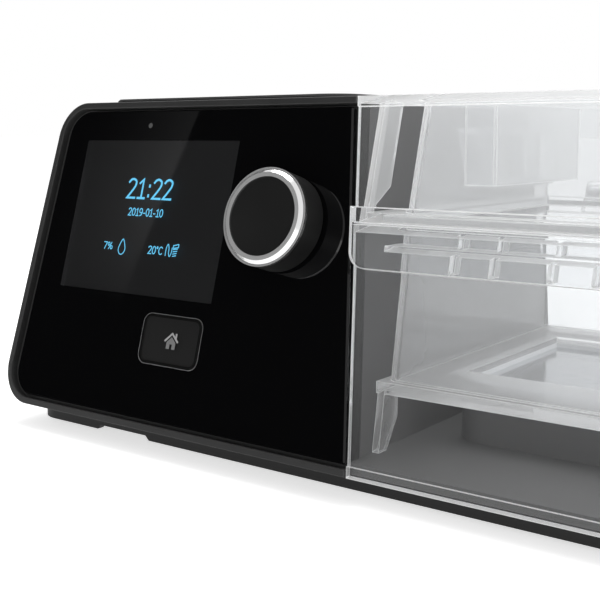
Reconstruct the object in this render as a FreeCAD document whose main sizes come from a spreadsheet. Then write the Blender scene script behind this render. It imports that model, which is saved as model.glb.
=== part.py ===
import FreeCAD, Part
import math
import os
import re
import Sketcher
from FreeCAD import Placement, Rotation, Vector

# Bedside CPAP machine: a blower unit with a leaning control panel on the left, and a
# clear water chamber with a hinged lid that slides into the bay on the right.
# X runs to the right, Y to the back and Z up. The origin lies on the table, below the
# middle of the case. All lengths are in millimetres and all angles in degrees.

SIZES = [
    # name, value, what it sets
    ("case_width", 265.0, "width over the drafted sides, at the underside of the rim"),
    ("case_depth", 145.0, "front edge of the rim to the back wall"),
    ("case_height", 112.6, "table to the top face"),
    ("case_bottom", 7.9, "table to the underside of the rim"),
    ("case_wall", 2.5, "wall of the moulded case"),
    ("case_top_radius", 12.0, "upper corners seen from the front"),
    ("case_bottom_radius", 13.0, "lower corners seen from the front"),
    ("case_back_radius", 6.0, "edges of the back wall"),
    ("lean_angle", 16.0, "lean of the front face from upright"),
    ("side_draft", 2.0, "taper of the sides towards the top"),
    ("split_height", 30.0, "joint between lower case and top cover"),
    ("seam_top_x", -1.3, "seam between unit and chamber, at the top face"),
    ("seam_angle", 8.9, "slant of that seam from upright"),
    ("seam_gap", 0.6, "open gap along the seam"),
    ("touch_gap", 0.3, "gap between parts of different bodies"),
    ("plinth_bottom", 1.5, "table to the underside of the plinth"),
    ("plinth_setback", 9.0, "plinth behind the rim, front and back"),
    ("plinth_side_setback", 8.2, "plinth inside the rim, left and right"),
    ("plinth_radius", 10.0, "corners of the plinth seen from above"),
    ("notch_left_x", "=-0.34717 * case_width", "left end of the grip notch in the plinth"),
    ("notch_width", 24.0, "width of the grip notch"),
    ("notch_height", 1.5, "height of the grip notch"),
    ("notch_depth", 9.0, "depth of the grip notch"),
    ("foot_radius", 7.0, "rubber foot"),
    ("foot_inset", 22.0, "foot centre from the plinth's edges"),
    ("foot_height", 2.5, "rubber foot, top to table"),
    ("foot_bevel", 0.5, "bevel of the rubber foot"),
    ("rim_face", 2.2, "width of the matt rim band"),
    ("rim_proud", 0.6, "rim band in front of the gloss panel"),
    ("rim_depth", 8.0, "depth of the front bezel"),
    ("rim_inner_face", 3.2, "rim edge to gloss panel, top and bottom"),
    ("rim_side_face", 5.0, "rim edge to gloss panel, left side"),
    ("bezel_plate", 2.0, "backing plate of the bezel"),
    ("panel_thick", 2.2, "gloss front panel"),
    ("panel_chamfer", 0.5, "chamfer round the gloss panel"),
    ("panel_seam_gap", 0.9, "gloss panel to seam"),
    ("screen_x", "=-0.29623 * case_width", "middle of the screen across"),
    ("screen_drop", 13.94, "screen below the top edge, along the panel"),
    ("screen_up", "=case_height / cos(lean_angle) - screen_drop - screen_height / 2", "screen up the panel"),
    ("screen_width", "=0.26453 * case_width", "screen across"),
    ("screen_height", "=0.75 * screen_width", "screen up the panel"),
    ("screen_glass", 1.2, "screen window"),
    ("lens_gap", 0.1, "gap round windows set in the panel"),
    ("lcd_margin", 3.0, "display frame round the screen"),
    ("lcd_thick", 3.0, "display module"),
    ("sensor_x", "=-0.31774 * case_width", "light sensor across"),
    ("sensor_drop", 8.64, "light sensor below the top edge, along the panel"),
    ("sensor_up", "=case_height / cos(lean_angle) - sensor_drop", "light sensor up the panel"),
    ("sensor_radius", 0.9, "light sensor window"),
    ("knob_x", "=-0.07660 * case_width", "knob axis across"),
    ("knob_drop", 39.84, "knob axis below the top edge, along the panel"),
    ("knob_up", "=case_height / cos(lean_angle) - knob_drop", "knob axis up the panel"),
    ("knob_radius", 15.0, "knob outside"),
    ("knob_height", 11.5, "knob face in front of the panel"),
    ("knob_ring_width", 3.0, "chrome ring on the knob"),
    ("knob_ring_height", 2.0, "chrome ring along the axis"),
    ("ring_bevel", 1.0, "bevel of the chrome ring"),
    ("ring_groove", 0.35, "groove and outer lip of the chrome ring"),
    ("knob_wall", 2.0, "knob skirt and face"),
    ("knob_hub_radius", 4.6, "hub inside the knob"),
    ("knob_hub_setback", 1.5, "hub behind the foot of the knob's skirt"),
    ("knob_travel", 1.0, "push of the knob"),
    ("shaft_radius", 1.9, "sliding knob shaft"),
    ("rotor_radius", 3.0, "encoder rotor"),
    ("running_gap", 0.06, "radial clearance of turning and sliding fits"),
    ("bushing_radius", 4.2, "encoder bushing"),
    ("bushing_height", 0.9, "bushing in front of the panel"),
    ("encoder_width", 14.0, "square encoder body"),
    ("encoder_hole", 10.5, "hole for the encoder in the bezel plate"),
    ("button_x", "=-0.21736 * case_width", "home button across"),
    ("button_drop", 13.4, "middle of the home button below the screen"),
    ("button_up", "=screen_up - screen_height / 2 - button_drop", "home button up the panel"),
    ("button_width", 24.6, "home button across"),
    ("button_height", 15.4, "home button up the panel"),
    ("button_radius", 2.8, "corners of the home button"),
    ("button_gap", 0.35, "groove round the home button"),
    ("button_travel", 0.8, "push of the home button"),
    ("button_thick", 1.6, "face of the home button"),
    ("button_flange", 1.2, "stop flange round the button"),
    ("switch_width", 6.0, "push switch"),
    ("switch_height", 1.6, "push switch body"),
    ("switch_dome_radius", 1.8, "dome of the push switch"),
    ("switch_dome_height", 0.5, "dome of the push switch"),
    ("board_thick", 1.6, "circuit boards"),
    ("board_back", 9.0, "control board behind the panel face"),
    ("control_board_left", 7.5, "control board from the left edge of the case"),
    ("control_board_right", 6.0, "control board from the middle of the case"),
    ("control_board_drop", 51.14, "middle of the control board below the top edge"),
    ("control_board_x", "=(control_board_left - case_width / 2 - control_board_right) / 2", "its middle"),
    ("control_board_up", "=case_height / cos(lean_angle) - control_board_drop", "its middle up the panel"),
    ("control_board_width", "=case_width / 2 - control_board_left - control_board_right", "board across"),
    ("control_board_height", "=0.74 * case_height", "control board up the panel"),
    ("screw_inset", 3.5, "board screws from the board's edge"),
    ("screw_radius", 1.5, "board and case screws"),
    ("screw_head_radius", 2.8, "screw heads"),
    ("screw_head_height", 1.8, "screw heads"),
    ("top_panel_thick", 1.4, "raised panel on the top face"),
    ("top_panel_left", "=-0.43774 * case_width", "raised panel, left edge"),
    ("top_panel_right", "=-0.04528 * case_width", "raised panel, right edge"),
    ("top_panel_front", -34.0, "raised panel, front edge"),
    ("top_panel_back", 60.0, "raised panel, back edge"),
    ("top_panel_radius", 9.0, "raised panel, corners"),
    ("liner_wall", 2.5, "wall and floor of the bay"),
    ("bay_floor", 11.0, "table to the floor of the bay"),
    ("sill_height", 24.0, "table to the top of the back sill"),
    ("sill_thick", 3.0, "back sill of the bay"),
    ("heater_x", "=(tub_left + tub_right) / 2", "middle of the heater across"),
    ("heater_y", 6.0, "middle of the heater front to back"),
    ("heater_width", 78.0, "heater plate across"),
    ("heater_depth", 66.0, "heater plate front to back"),
    ("heater_radius", 10.0, "corners of the heater plate"),
    ("heater_thick", 3.0, "aluminium heater plate"),
    ("heater_top", 26.0, "table to the top of the heater plate"),
    ("heater_bevel", 0.75, "bevel of the heater plate"),
    ("pedestal_margin", 4.0, "heater pedestal round the plate"),
    ("tub_side_gap", 0.33, "tub from the foot of the bay's wall"),
    ("tub_left", "=seam_top_x + case_height * tan(seam_angle) - tub_side_gap", "left wall of the water tub"),
    ("tub_right", "=0.45660 * case_width", "right wall of the water tub"),
    ("tub_rear_gap", 14.5, "tub in front of the case's back"),
    ("tub_back", "=case_depth / 2 - tub_rear_gap", "back wall of the water tub"),
    ("tub_front_inset", 8.5, "tub front behind the front face, at the flange"),
    ("tub_front_lean", 10.0, "lean of the tub's front wall"),
    ("tub_wall", 2.2, "walls of the clear mouldings inside"),
    ("tub_corner", 4.0, "corners of the tub"),
    ("clear_wall", 2.5, "outer walls of the clear mouldings"),
    ("chamber_rear_gap", 6.5, "chamber's flange in front of the case's back"),
    ("chamber_back", "=case_depth / 2 - chamber_rear_gap", "back edge of the chamber's flange and lid"),
    ("joint_drop", 37.2, "joint between tub and lid below the top face"),
    ("joint_height", "=case_height - joint_drop", "joint between tub and lid at the front"),
    ("flange_thick", 2.6, "tub and lid flanges"),
    ("tub_flange_width", 1.8, "band round the tub's lower edge"),
    ("tub_flange_height", 3.4, "band round the tub's lower edge"),
    ("plate_width", 86.0, "chamber's metal base plate across"),
    ("plate_depth", 74.0, "chamber's metal base plate front to back"),
    ("plate_thick", 1.2, "chamber's metal base plate"),
    ("plate_lap", 4.0, "lap of the base plate under the tub floor"),
    ("plate_seal_height", 1.4, "silicone seal over the base plate"),
    ("rib_left", 37.0, "first rib below the finger lip, across"),
    ("rib_pair", 11.7, "ribs of a pair"),
    ("rib_pitch", 28.0, "pairs of ribs"),
    ("rib_pairs", 3, "pairs of ribs"),
    ("rib_thick", 1.6, "ribs of the clear mouldings"),
    ("rib_step", 3.2, "depth of the lower ribs, in front of the upper ones"),
    ("shelf_drop", 7.4, "shelf between the upper and lower ribs, below the joint"),
    ("post_x", 6.5, "end wall behind the lid's front, across"),
    ("post_depth", 10.0, "end wall behind the lid's front, front to back"),
    ("baffle_reach", 36.0, "air baffle in front of the blower's port"),
    ("baffle_width", 13.0, "air baffle from the left wall of the lid's box"),
    ("leg_thick", 2.2, "legs under the tub"),
    ("leg_depth", 7.0, "legs under the tub"),
    ("leg_toe", 4.2, "lower end of a leg"),
    ("lip_drop", 12.2, "finger lip below the joint"),
    ("lip_proud", 2.3, "finger lip in front of the tub"),
    ("lip_radius", 5.5, "lower corners of the finger lip"),
    ("port_rear_gap", 45.5, "air port from the blower in front of the case's back"),
    ("port_y", "=case_depth / 2 - port_rear_gap", "middle of the air port from the blower"),
    ("baffle_front", "=port_y - baffle_reach", "front of the air baffle inside the lid"),
    ("port_pitch", 26.0, "blower port to outlet port"),
    ("port_width", 20.0, "air ports front to back"),
    ("port_height", 20.0, "air ports up and down"),
    ("port_drop", 19.6, "middle of the air ports below the top face"),
    ("port_up", "=case_height - port_drop", "table to the middle of the air ports"),
    ("seal_wall", 2.0, "silicone port seals"),
    ("gasket_width", 3.0, "lid gasket"),
    ("gasket_height", 1.6, "lid gasket"),
    ("hinge_radius", 2.0, "hinge pin of the lid"),
    ("hinge_knuckle", 4.4, "outside of the hinge knuckles"),
    ("hinge_rise", 4.2, "hinge axis above the joint"),
    ("hinge_up", "=joint_height + hinge_rise", "table to the hinge axis"),
    ("hinge_rear_gap", 1.5, "hinge axis in front of the case's back"),
    ("hinge_back", "=case_depth / 2 - hinge_rear_gap", "hinge axis front to back"),
    ("hinge_left_inset", 12.0, "left end of the hinge from the tub's left side"),
    ("hinge_left", "=tub_left + hinge_left_inset", "left end of the hinge"),
    ("hinge_right_inset", 11.0, "right end of the hinge from the tub's right side"),
    ("hinge_right", "=tub_right - hinge_right_inset", "right end of the hinge"),
    ("knuckle_length", 12.0, "one hinge knuckle"),
    ("outlet_x", "=-0.07547 * case_width", "air outlet across"),
    ("outlet_radius", 11.0, "outside of the hose port"),
    ("outlet_bore", 9.5, "inside of the hose port"),
    ("outlet_length", 20.0, "hose port behind the back wall"),
    ("outlet_flange", 1.5, "flange of the hose port"),
    ("outlet_neck", 1.0, "thicker root of the hose port in the wall"),
    ("blower_x", "=-0.30189 * case_width", "blower axis across"),
    ("blower_y", 2.0, "blower axis front to back"),
    ("blower_bottom", 24.0, "table to the blower's underside"),
    ("blower_height", 40.0, "blower housing"),
    ("blower_radius", 36.0, "blower housing"),
    ("blower_wall", 2.4, "blower housing"),
    ("blower_eye", 13.0, "air inlet of the blower"),
    ("blower_outlet_height", 11.7, "outlet of the blower, up and down"),
    ("blower_outlet_drop", 7.2, "middle of that outlet below the roof of the housing"),
    ("impeller_radius", 28.0, "impeller"),
    ("impeller_height", 9.0, "impeller blades"),
    ("blade_thick", 1.2, "impeller blades"),
    ("blade_count", 11, "impeller blades"),
    ("blade_sweep", 55.0, "impeller blades, root to tip round the axis"),
    ("blade_belly", 0.2, "bow of an impeller blade, as a share of its length"),
    ("motor_radius", 17.0, "blower motor"),
    ("motor_height", 20.0, "blower motor"),
    ("motor_shoulder", 2.3, "bevel round the top of the motor"),
    ("spindle_radius", 2.0, "motor spindle"),
    ("hub_radius", 6.0, "hub of the impeller, at the disc"),
    ("hub_top_radius", 5.0, "hub of the impeller, at its top"),
    ("blade_root", 7.0, "inner end of an impeller blade from the axis"),
    ("mount_radius", 4.0, "silicone blower mounts"),
    ("mount_top_radius", 3.0, "silicone blower mounts, at their top"),
    ("mount_circle", 28.0, "blower mounts from the blower axis"),
    ("mount_count", 3, "blower mounts"),
    ("duct_wall", 1.8, "air ducts"),
    ("intake_x", "=-0.36226 * case_width", "air intake across"),
    ("intake_drop", 28.6, "middle of the air intake below the top face"),
    ("intake_up", "=case_height - intake_drop", "air intake up"),
    ("intake_width", 44.0, "air intake window across"),
    ("intake_height", 30.0, "air intake window up"),
    ("filter_thick", 8.0, "intake filter"),
    ("cap_thick", 3.0, "filter cap"),
    ("cap_margin", 4.0, "filter cap round the window"),
    ("louvre_count", 5, "slots in the filter cap"),
    ("louvre_width", 2.4, "slots in the filter cap"),
    ("foam_thick", 10.0, "muffler foam"),
    ("foam_bore_radius", 9.1, "hole through the muffler foam"),
    ("main_board_left", "=-0.44528 * case_width", "main board, left edge"),
    ("main_board_width", "=0.39245 * case_width", "main board across"),
    ("main_board_front", -56.0, "main board, front edge"),
    ("main_board_depth", 28.0, "main board front to back"),
    ("main_board_up", 17.0, "table to the underside of the main board"),
    ("capacitor_count", 3, "capacitors on the main board"),
    ("capacitor_radius", 5.6, "capacitors on the main board"),
    ("capacitor_height", 9.3, "capacitors on the main board"),
    ("jack_x", "=-0.19623 * case_width", "power inlet across"),
    ("jack_up", 44.0, "power inlet up"),
    ("jack_radius", 3.2, "power inlet bore"),
    ("jack_width", 11.0, "power inlet body"),
    ("jack_depth", 14.0, "power inlet body"),
    ("jack_bore_depth", 11.2, "power inlet bore"),
    ("jack_pin_radius", 1.1, "pin in the power inlet"),
    ("jack_pin_length", 8.4, "pin in the power inlet"),
    ("card_y", 10.0, "card slot on the left side, front to back"),
    ("card_up", 72.0, "card slot up"),
    ("card_width", 26.0, "card slot front to back"),
    ("card_height", 4.6, "card slot opening"),
    ("card_pocket_depth", 23.4, "card socket"),
    ("cover_margin", 4.0, "card cover round the slot"),
    ("cover_thick", 2.0, "card cover"),
]

NAMES = {name for name, value, note in SIZES}

# Cosines above which a direction counts as along an axis, or mostly so, the error allowed
# for an exact one, how near an edge lies to the face it bounds, and a length that doesn't
# matter.
ALONG = 0.999
MOSTLY = 0.9
EXACT = 1e-6
NEAR = 1.0
HAIR = 1e-3

document = FreeCAD.newDocument("CpapMachine")
sheet = document.addObject("Spreadsheet::Sheet", "Sizes")


def fill_sheet():
    """Writes every size into its cell, with its name as the cell's alias."""
    for row, (name, value, note) in enumerate(SIZES, start=1):
        sheet.set(f"A{row}", note)
        sheet.set(f"B{row}", str(value))
        sheet.setAlias(f"B{row}", name)
    document.recompute()


def formula(text):
    """The text with every size name pointing at its cell."""
    return re.sub(r"[a-z_]+", lambda word: "Sizes." + word.group()
                  if word.group() in NAMES else word.group(), str(text))


def number(text):
    """The present value of a formula."""
    return float(sheet.evalExpression(formula(text)))


def bind(feature, prop, text):
    """Ties a property of a feature to a formula of sizes."""
    feature.setExpression(prop, formula(text))


# ---- shared lines of the case, as formulas -------------------------------------------


def half_width(up):
    """Half the case's width at a height."""
    return f"(case_width / 2 - ({up} - case_bottom) * tan(side_draft))"


def seam(up):
    """X of the slanted seam at a height."""
    return f"(seam_top_x + (case_height - ({up})) * tan(seam_angle))"


def front(up, inset="0"):
    """Y of the leaning front face at a height, or of a plane behind it."""
    return f"(-case_depth / 2 + ({up} - case_bottom) * tan(lean_angle) + ({inset}) / cos(lean_angle))"


PANEL_FOOT = "(" + front("0", "rim_proud") + ")"


def slope(up, out="0"):
    """Distance up the panel of a height, for a point that far in front of it."""
    return f"((({up}) - ({out}) * sin(lean_angle)) / cos(lean_angle))"


# ---- building blocks -----------------------------------------------------------------


def new_body(label):
    """An empty body with a label."""
    body = document.addObject("PartDesign::Body", label + "_body")
    body.Label = label
    return body


def sketch_on(body, role, offset="0"):
    """A sketch on one of the body's own origin planes, moved along its normal."""
    plane = [item for item in body.Origin.OriginFeatures if item.Role == role][0]
    sketch = body.newObject("Sketcher::SketchObject", body.Label + "_sketch")
    sketch.AttachmentSupport = [(plane, "")]
    sketch.MapMode = "FlatFace"
    bind(sketch, "AttachmentOffset.Base.z", offset)
    return sketch


def sketch_on_panel(body, out="0"):
    """A sketch parallel to the front panel; its Y runs up the slope from the table."""
    sketch = sketch_on(body, "XZ_Plane")
    sketch.AttachmentOffset = Placement(Vector(), Rotation(Vector(-1, 0, 0), 1))
    bind(sketch, "AttachmentOffset.Rotation.Angle", "lean_angle")
    bind(sketch, "AttachmentOffset.Base.y", f"({out}) * sin(lean_angle)")
    bind(sketch, "AttachmentOffset.Base.z", f"-{PANEL_FOOT} + ({out}) * cos(lean_angle)")
    return sketch


def hold(sketch, kind, place, text):
    """A dimension from the sketch's origin to a point, bound to a formula."""
    index = sketch.addConstraint(Sketcher.Constraint(kind, -1, 1, *place, number(text)))
    bind(sketch, f"Constraints[{index}]", text)


def outline(sketch, corners):
    """A closed outline of straight lines through corners given as formulas."""
    points = [Vector(number(x), number(y), 0) for x, y in corners]
    start = sketch.GeometryCount
    count = len(points)
    for index in range(count):
        line = Part.LineSegment(points[index], points[(index + 1) % count])
        sketch.addGeometry(line, False)
    for index in range(count):
        following = start + (index + 1) % count
        sketch.addConstraint(Sketcher.Constraint("Coincident", start + index, 2, following, 1))
    for index, (x, y) in enumerate(corners):
        hold(sketch, "DistanceX", (start + index, 1), x)
        hold(sketch, "DistanceY", (start + index, 1), y)


def rectangle(sketch, x, y, width, height):
    """A rectangle about a middle point."""
    left, right = f"{x} - ({width}) / 2", f"{x} + ({width}) / 2"
    low, high = f"{y} - ({height}) / 2", f"{y} + ({height}) / 2"
    outline(sketch, [(left, low), (right, low), (right, high), (left, high)])


def circle(sketch, x, y, radius):
    """A circle about a middle point."""
    middle = Vector(number(x), number(y), 0)
    index = sketch.addGeometry(Part.Circle(middle, Vector(0, 0, 1), number(radius)), False)
    hold(sketch, "DistanceX", (index, 3), x)
    hold(sketch, "DistanceY", (index, 3), y)
    constraint = sketch.addConstraint(Sketcher.Constraint("Radius", index, number(radius)))
    bind(sketch, f"Constraints[{constraint}]", radius)


def extrude(body, kind, sketch, length, both=False, backwards=False):
    """A pad or pocket of a sketch, one way or both."""
    feature = body.newObject("PartDesign::" + kind, body.Label + "_" + kind.lower())
    feature.Profile = sketch
    feature.SideType = "Symmetric" if both else "One side"
    feature.Reversed = backwards
    bind(feature, "Length", length)
    document.recompute()
    return feature


def pad(body, sketch, length, both=False, backwards=False):
    """Adds a sketch's area over a length."""
    return extrude(body, "Pad", sketch, length, both, backwards)


def pocket(body, sketch, length, both=False, backwards=False):
    """A pocket that is checked to take material away."""
    before = body.Shape.Volume
    feature = extrude(body, "Pocket", sketch, length, both, backwards)
    if body.Shape.Volume >= before:
        raise ValueError(f"{feature.Label} cuts nothing")
    return feature


def turn(body, kind, sketch):
    """A revolution or groove about the sketch's vertical axis."""
    feature = body.newObject("PartDesign::" + kind, body.Label + "_" + kind.lower())
    feature.Profile = sketch
    feature.ReferenceAxis = (sketch, ["V_Axis"])
    feature.Angle = 360
    document.recompute()
    return feature


def edges_of(feature, wanted):
    """The names of a feature's edges that pass a test."""
    shape = feature.Shape
    return [f"Edge{index}" for index, edge in enumerate(shape.Edges, start=1) if wanted(edge)]


def faces_of(feature, wanted):
    """The names of a feature's faces that pass a test."""
    shape = feature.Shape
    return [f"Face{index}" for index, face in enumerate(shape.Faces, start=1) if wanted(face)]


def dress(body, kind, prop, size, names):
    """A fillet, chamfer or shell on named edges or faces of the body's tip."""
    base = body.Tip
    feature = body.newObject("PartDesign::" + kind, body.Label + "_" + kind.lower())
    feature.Base = (base, names)
    bind(feature, prop, size)
    document.recompute()
    return feature


def round_edges(body, radius, wanted):
    """Rounds the edges of the tip that pass a test."""
    return dress(body, "Fillet", "Radius", radius, edges_of(body.Tip, wanted))


def bevel_edges(body, size, wanted):
    """Bevels the edges of the tip that pass a test."""
    return dress(body, "Chamfer", "Size", size, edges_of(body.Tip, wanted))


def hollow(body, wall, open_faces):
    """Turns the body into a shell with the given faces left open."""
    feature = dress(body, "Thickness", "Value", wall, faces_of(body.Tip, open_faces))
    feature.Reversed = True
    feature.Join = 0
    document.recompute()
    return feature


def along(edge, axis):
    """True for a straight edge that runs along an axis."""
    if not isinstance(edge.Curve, Part.Line):
        return False
    return abs(abs(edge.tangentAt(edge.FirstParameter).dot(axis)) - 1) < EXACT


def faces_towards(face, axis):
    """True for a flat face whose outside looks along an axis."""
    return isinstance(face.Surface, Part.Plane) and face.normalAt(0, 0).dot(axis) > ALONG


X_AXIS = Vector(1, 0, 0)
Y_AXIS = Vector(0, 1, 0)
Z_AXIS = Vector(0, 0, 1)


def cut_front(body, inset="0"):
    """Trims a body along a plane parallel to the leaning front face."""
    low, high, clear = "-case_height", "2 * case_height", "-case_depth * 2"
    sketch = sketch_on(body, "YZ_Plane")
    outline(sketch, [(front(low, inset), low), (front(high, inset), high),
                     (clear, high), (clear, low)])
    return pocket(body, sketch, "3 * case_width", both=True)


def place_on_panel(body, x, up, out="0"):
    """Stands a part, modelled about its own Z axis, on the leaning panel."""
    body.Placement = Placement(Vector(), Rotation(X_AXIS, 45))
    bind(body, "Placement.Rotation.Angle", "90 - lean_angle")
    bind(body, "Placement.Base.x", x)
    bind(body, "Placement.Base.y",
         f"{PANEL_FOOT} + ({up}) * sin(lean_angle) - ({out}) * cos(lean_angle)")
    bind(body, "Placement.Base.z", f"({up}) * cos(lean_angle) + ({out}) * sin(lean_angle)")


def pad_to_back(body, sketch, depth):
    """A pad from the panel plane that runs level towards the back."""
    feature = pad(body, sketch, depth)
    feature.UseCustomVector = True
    feature.Direction = Y_AXIS
    document.recompute()
    return feature


def upright(edge):
    """True for a straight edge that is more upright than flat."""
    return isinstance(edge.Curve, Part.Line) and abs(edge.tangentAt(edge.FirstParameter).z) > MOSTLY


def join(label, kind, base, tools):
    """A boolean of finished shapes."""
    if kind == "Part::MultiFuse":
        result = document.addObject(kind, label + "_joined")
        result.Shapes = [base, *tools]
    else:
        result = document.addObject(kind, label + "_trimmed")
        result.Base = base
        result.Tool = tools[0]
    result.Label = label
    document.recompute()
    return result


def shift(feature, x, y, z):
    """Moves a feature by three formulas."""
    for axis, text in zip("xyz", (x, y, z)):
        bind(feature, f"Placement.Base.{axis}", text)


def block(label, x, y, z, width, depth, height):
    """A plain block from its lower left front corner."""
    box = document.addObject("Part::Box", label + "_block")
    box.Label = label
    bind(box, "Length", width)
    bind(box, "Width", depth)
    bind(box, "Height", height)
    shift(box, x, y, z)
    return box


def rod(label, x, y, z, radius, length, axis=Z_AXIS):
    """A round bar from the middle of its first face."""
    bar = document.addObject("Part::Cylinder", label + "_rod")
    bar.Label = label
    bar.Placement = Placement(Vector(), Rotation(Z_AXIS, axis))
    bind(bar, "Radius", radius)
    bind(bar, "Height", length)
    shift(bar, x, y, z)
    return bar


# ---- front of the unit ---------------------------------------------------------------


def board_screw_places():
    """The four screws of the control board, across and up the panel."""
    across = "(control_board_width / 2 - screw_inset)"
    up = "(control_board_height / 2 - screw_inset)"
    return [(f"control_board_x {a} {across}", f"control_board_up {b} {up}")
            for a in "+-" for b in "+-"]


def case_outline(out, sides, faces):
    """Left, top, seam and bottom of the front outline, moved in by the given faces."""
    top = slope("case_height", out) + f" - {faces}"
    low = slope("case_bottom", out) + f" + {faces}"
    return [(f"-{half_width('case_bottom')} + {sides}", low),
            (f"-{half_width('case_height')} + {sides}", top),
            (seam("case_height"), top), (seam("case_bottom"), low)]


def panel_normal():
    """The direction the control panel looks towards."""
    lean = math.radians(number("lean_angle"))
    return Vector(0, -math.cos(lean), math.sin(lean))


def front_bezel():
    """The matt rim, its backing plate and the posts of the control board."""
    body = new_body("front_bezel")
    sketch = sketch_on_panel(body, "rim_proud")
    outline(sketch, case_outline("rim_proud", "0", "0"))
    pad_to_back(body, sketch, "rim_depth")
    left, middle = number("screen_x"), number("case_height / 2")
    normal = panel_normal()
    back = "-(panel_thick + bezel_plate)"
    wall = "case_wall + touch_gap"
    for out, inset, depth, side in (("rim_proud", "rim_face", "rim_proud + panel_thick", "rim_depth"),
                                    (back, wall, "rim_depth", "-case_wall")):
        hollowed = sketch_on_panel(body, out)
        corners = case_outline(out, inset, inset)
        outline(hollowed, corners[:2] + [(f"{x} + {side}", y) for x, y in corners[2:]])
        before = {edge.CenterOfMass.y for edge in body.Shape.Edges}
        pocket(body, hollowed, depth)
        for radius, above in (("case_top_radius", True), ("case_bottom_radius", False)):
            round_edges(body, f"{radius} - ({inset})", lambda e: along(e, normal)
                        and e.CenterOfMass.x < left and e.CenterOfMass.y not in before
                        and (e.CenterOfMass.z > middle) == above)
    for radius, above in (("case_top_radius", True), ("case_bottom_radius", False)):
        round_edges(body, radius, lambda e: along(e, Y_AXIS) and e.CenterOfMass.x < left
                    and (e.CenterOfMass.z > middle) == above)
    posts = sketch_on_panel(body, back)
    for x, up in board_screw_places():
        circle(posts, x, up, "screw_head_radius")
    pad(body, posts, "board_back - board_thick - panel_thick - bezel_plate", backwards=True)
    windows = sketch_on_panel(body)
    rectangle(windows, "screen_x", "screen_up", "screen_width + 2 * (lcd_margin + lens_gap)",
              "screen_height + 2 * (lcd_margin + lens_gap)")
    rectangle(windows, "button_x", "button_up",
              "button_width + 2 * (button_flange + touch_gap)",
              "button_height + 2 * (button_flange + touch_gap)")
    circle(windows, "knob_x", "knob_up", "encoder_hole")
    circle(windows, "sensor_x", "sensor_up", "sensor_radius")
    for x, up in board_screw_places():
        circle(windows, x, up, "screw_radius")
    pocket(body, windows, "rim_depth * 2")
    return body


def front_panel():
    """The gloss panel with its screen window, knob hole and button opening."""
    body = new_body("front_panel")
    sketch = sketch_on_panel(body)
    corners = case_outline("0", "rim_side_face", "rim_inner_face")
    outline(sketch, corners[:2] + [(f"{x} - panel_seam_gap", y) for x, y in corners[2:]])
    pad(body, sketch, "panel_thick", backwards=True)
    normal = panel_normal()
    left = number("screen_x - screen_width / 2")
    round_edges(body, "case_top_radius - rim_inner_face",
                lambda e: along(e, normal) and e.CenterOfMass.x < left)
    bevel_edges(body, "panel_chamfer", lambda e: e.CenterOfMass.y < number(
        front("0", "rim_proud + panel_thick / 2")) + e.CenterOfMass.z * math.tan(
            math.radians(number("lean_angle"))))
    button = sketch_on_panel(body)
    rectangle(button, "button_x", "button_up", "button_width + 2 * button_gap",
              "button_height + 2 * button_gap")
    pocket(body, button, "2 * panel_thick")
    span = number("button_width")
    middle = number("button_x")
    round_edges(body, "button_radius + button_gap",
                lambda e: along(e, normal) and abs(e.CenterOfMass.x - middle) < span)
    openings = sketch_on_panel(body)
    rectangle(openings, "screen_x", "screen_up", "screen_width + 2 * lens_gap",
              "screen_height + 2 * lens_gap")
    circle(openings, "knob_x", "knob_up", "bushing_radius + lens_gap")
    circle(openings, "sensor_x", "sensor_up", "sensor_radius")
    pocket(body, openings, "2 * panel_thick")
    return body


def screen_window():
    """The clear window over the display, flush with the panel."""
    body = new_body("screen_window")
    sketch = sketch_on(body, "XY_Plane")
    rectangle(sketch, "0", "0", "screen_width", "screen_height")
    pad(body, sketch, "screen_glass", backwards=True)
    place_on_panel(body, "screen_x", "screen_up")
    return body


def display_module():
    """The display in its metal frame, with the lit area reaching up into the window."""
    body = new_body("display_module")
    sketch = sketch_on(body, "XY_Plane", "-panel_thick")
    rectangle(sketch, "0", "0", "screen_width + 2 * lcd_margin", "screen_height + 2 * lcd_margin")
    pad(body, sketch, "lcd_thick", backwards=True)
    glass = sketch_on(body, "XY_Plane", "-panel_thick")
    rectangle(glass, "0", "0", "screen_width", "screen_height")
    pad(body, glass, "panel_thick - screen_glass")
    place_on_panel(body, "screen_x", "screen_up")
    return body


def light_sensor():
    """The small round window of the light sensor, with the sensor's tube behind it."""
    body = new_body("light_sensor")
    sketch = sketch_on(body, "XY_Plane")
    circle(sketch, "0", "0", "sensor_radius")
    pad(body, sketch, "panel_thick + bezel_plate", backwards=True)
    place_on_panel(body, "sensor_x", "sensor_up")
    return body


def control_board():
    """The board behind the panel that carries encoder, switch and display."""
    body = new_body("control_board")
    sketch = sketch_on_panel(body, "board_thick - board_back")
    rectangle(sketch, "control_board_x", "control_board_up", "control_board_width",
              "control_board_height")
    for x, up in board_screw_places():
        circle(sketch, x, up, "screw_radius")
    pad(body, sketch, "board_thick", backwards=True)
    return body


def board_screws():
    """The four screws that hold the control board on the bezel's posts."""
    body = new_body("board_screws")
    shanks = sketch_on_panel(body, "-board_back")
    for x, up in board_screw_places():
        circle(shanks, x, up, "screw_radius")
    pad(body, shanks, "board_back - panel_thick - bezel_plate / 2")
    heads = sketch_on_panel(body, "-board_back")
    for x, up in board_screw_places():
        circle(heads, x, up, "screw_head_radius")
    pad(body, heads, "screw_head_height", backwards=True)
    return body


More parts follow.
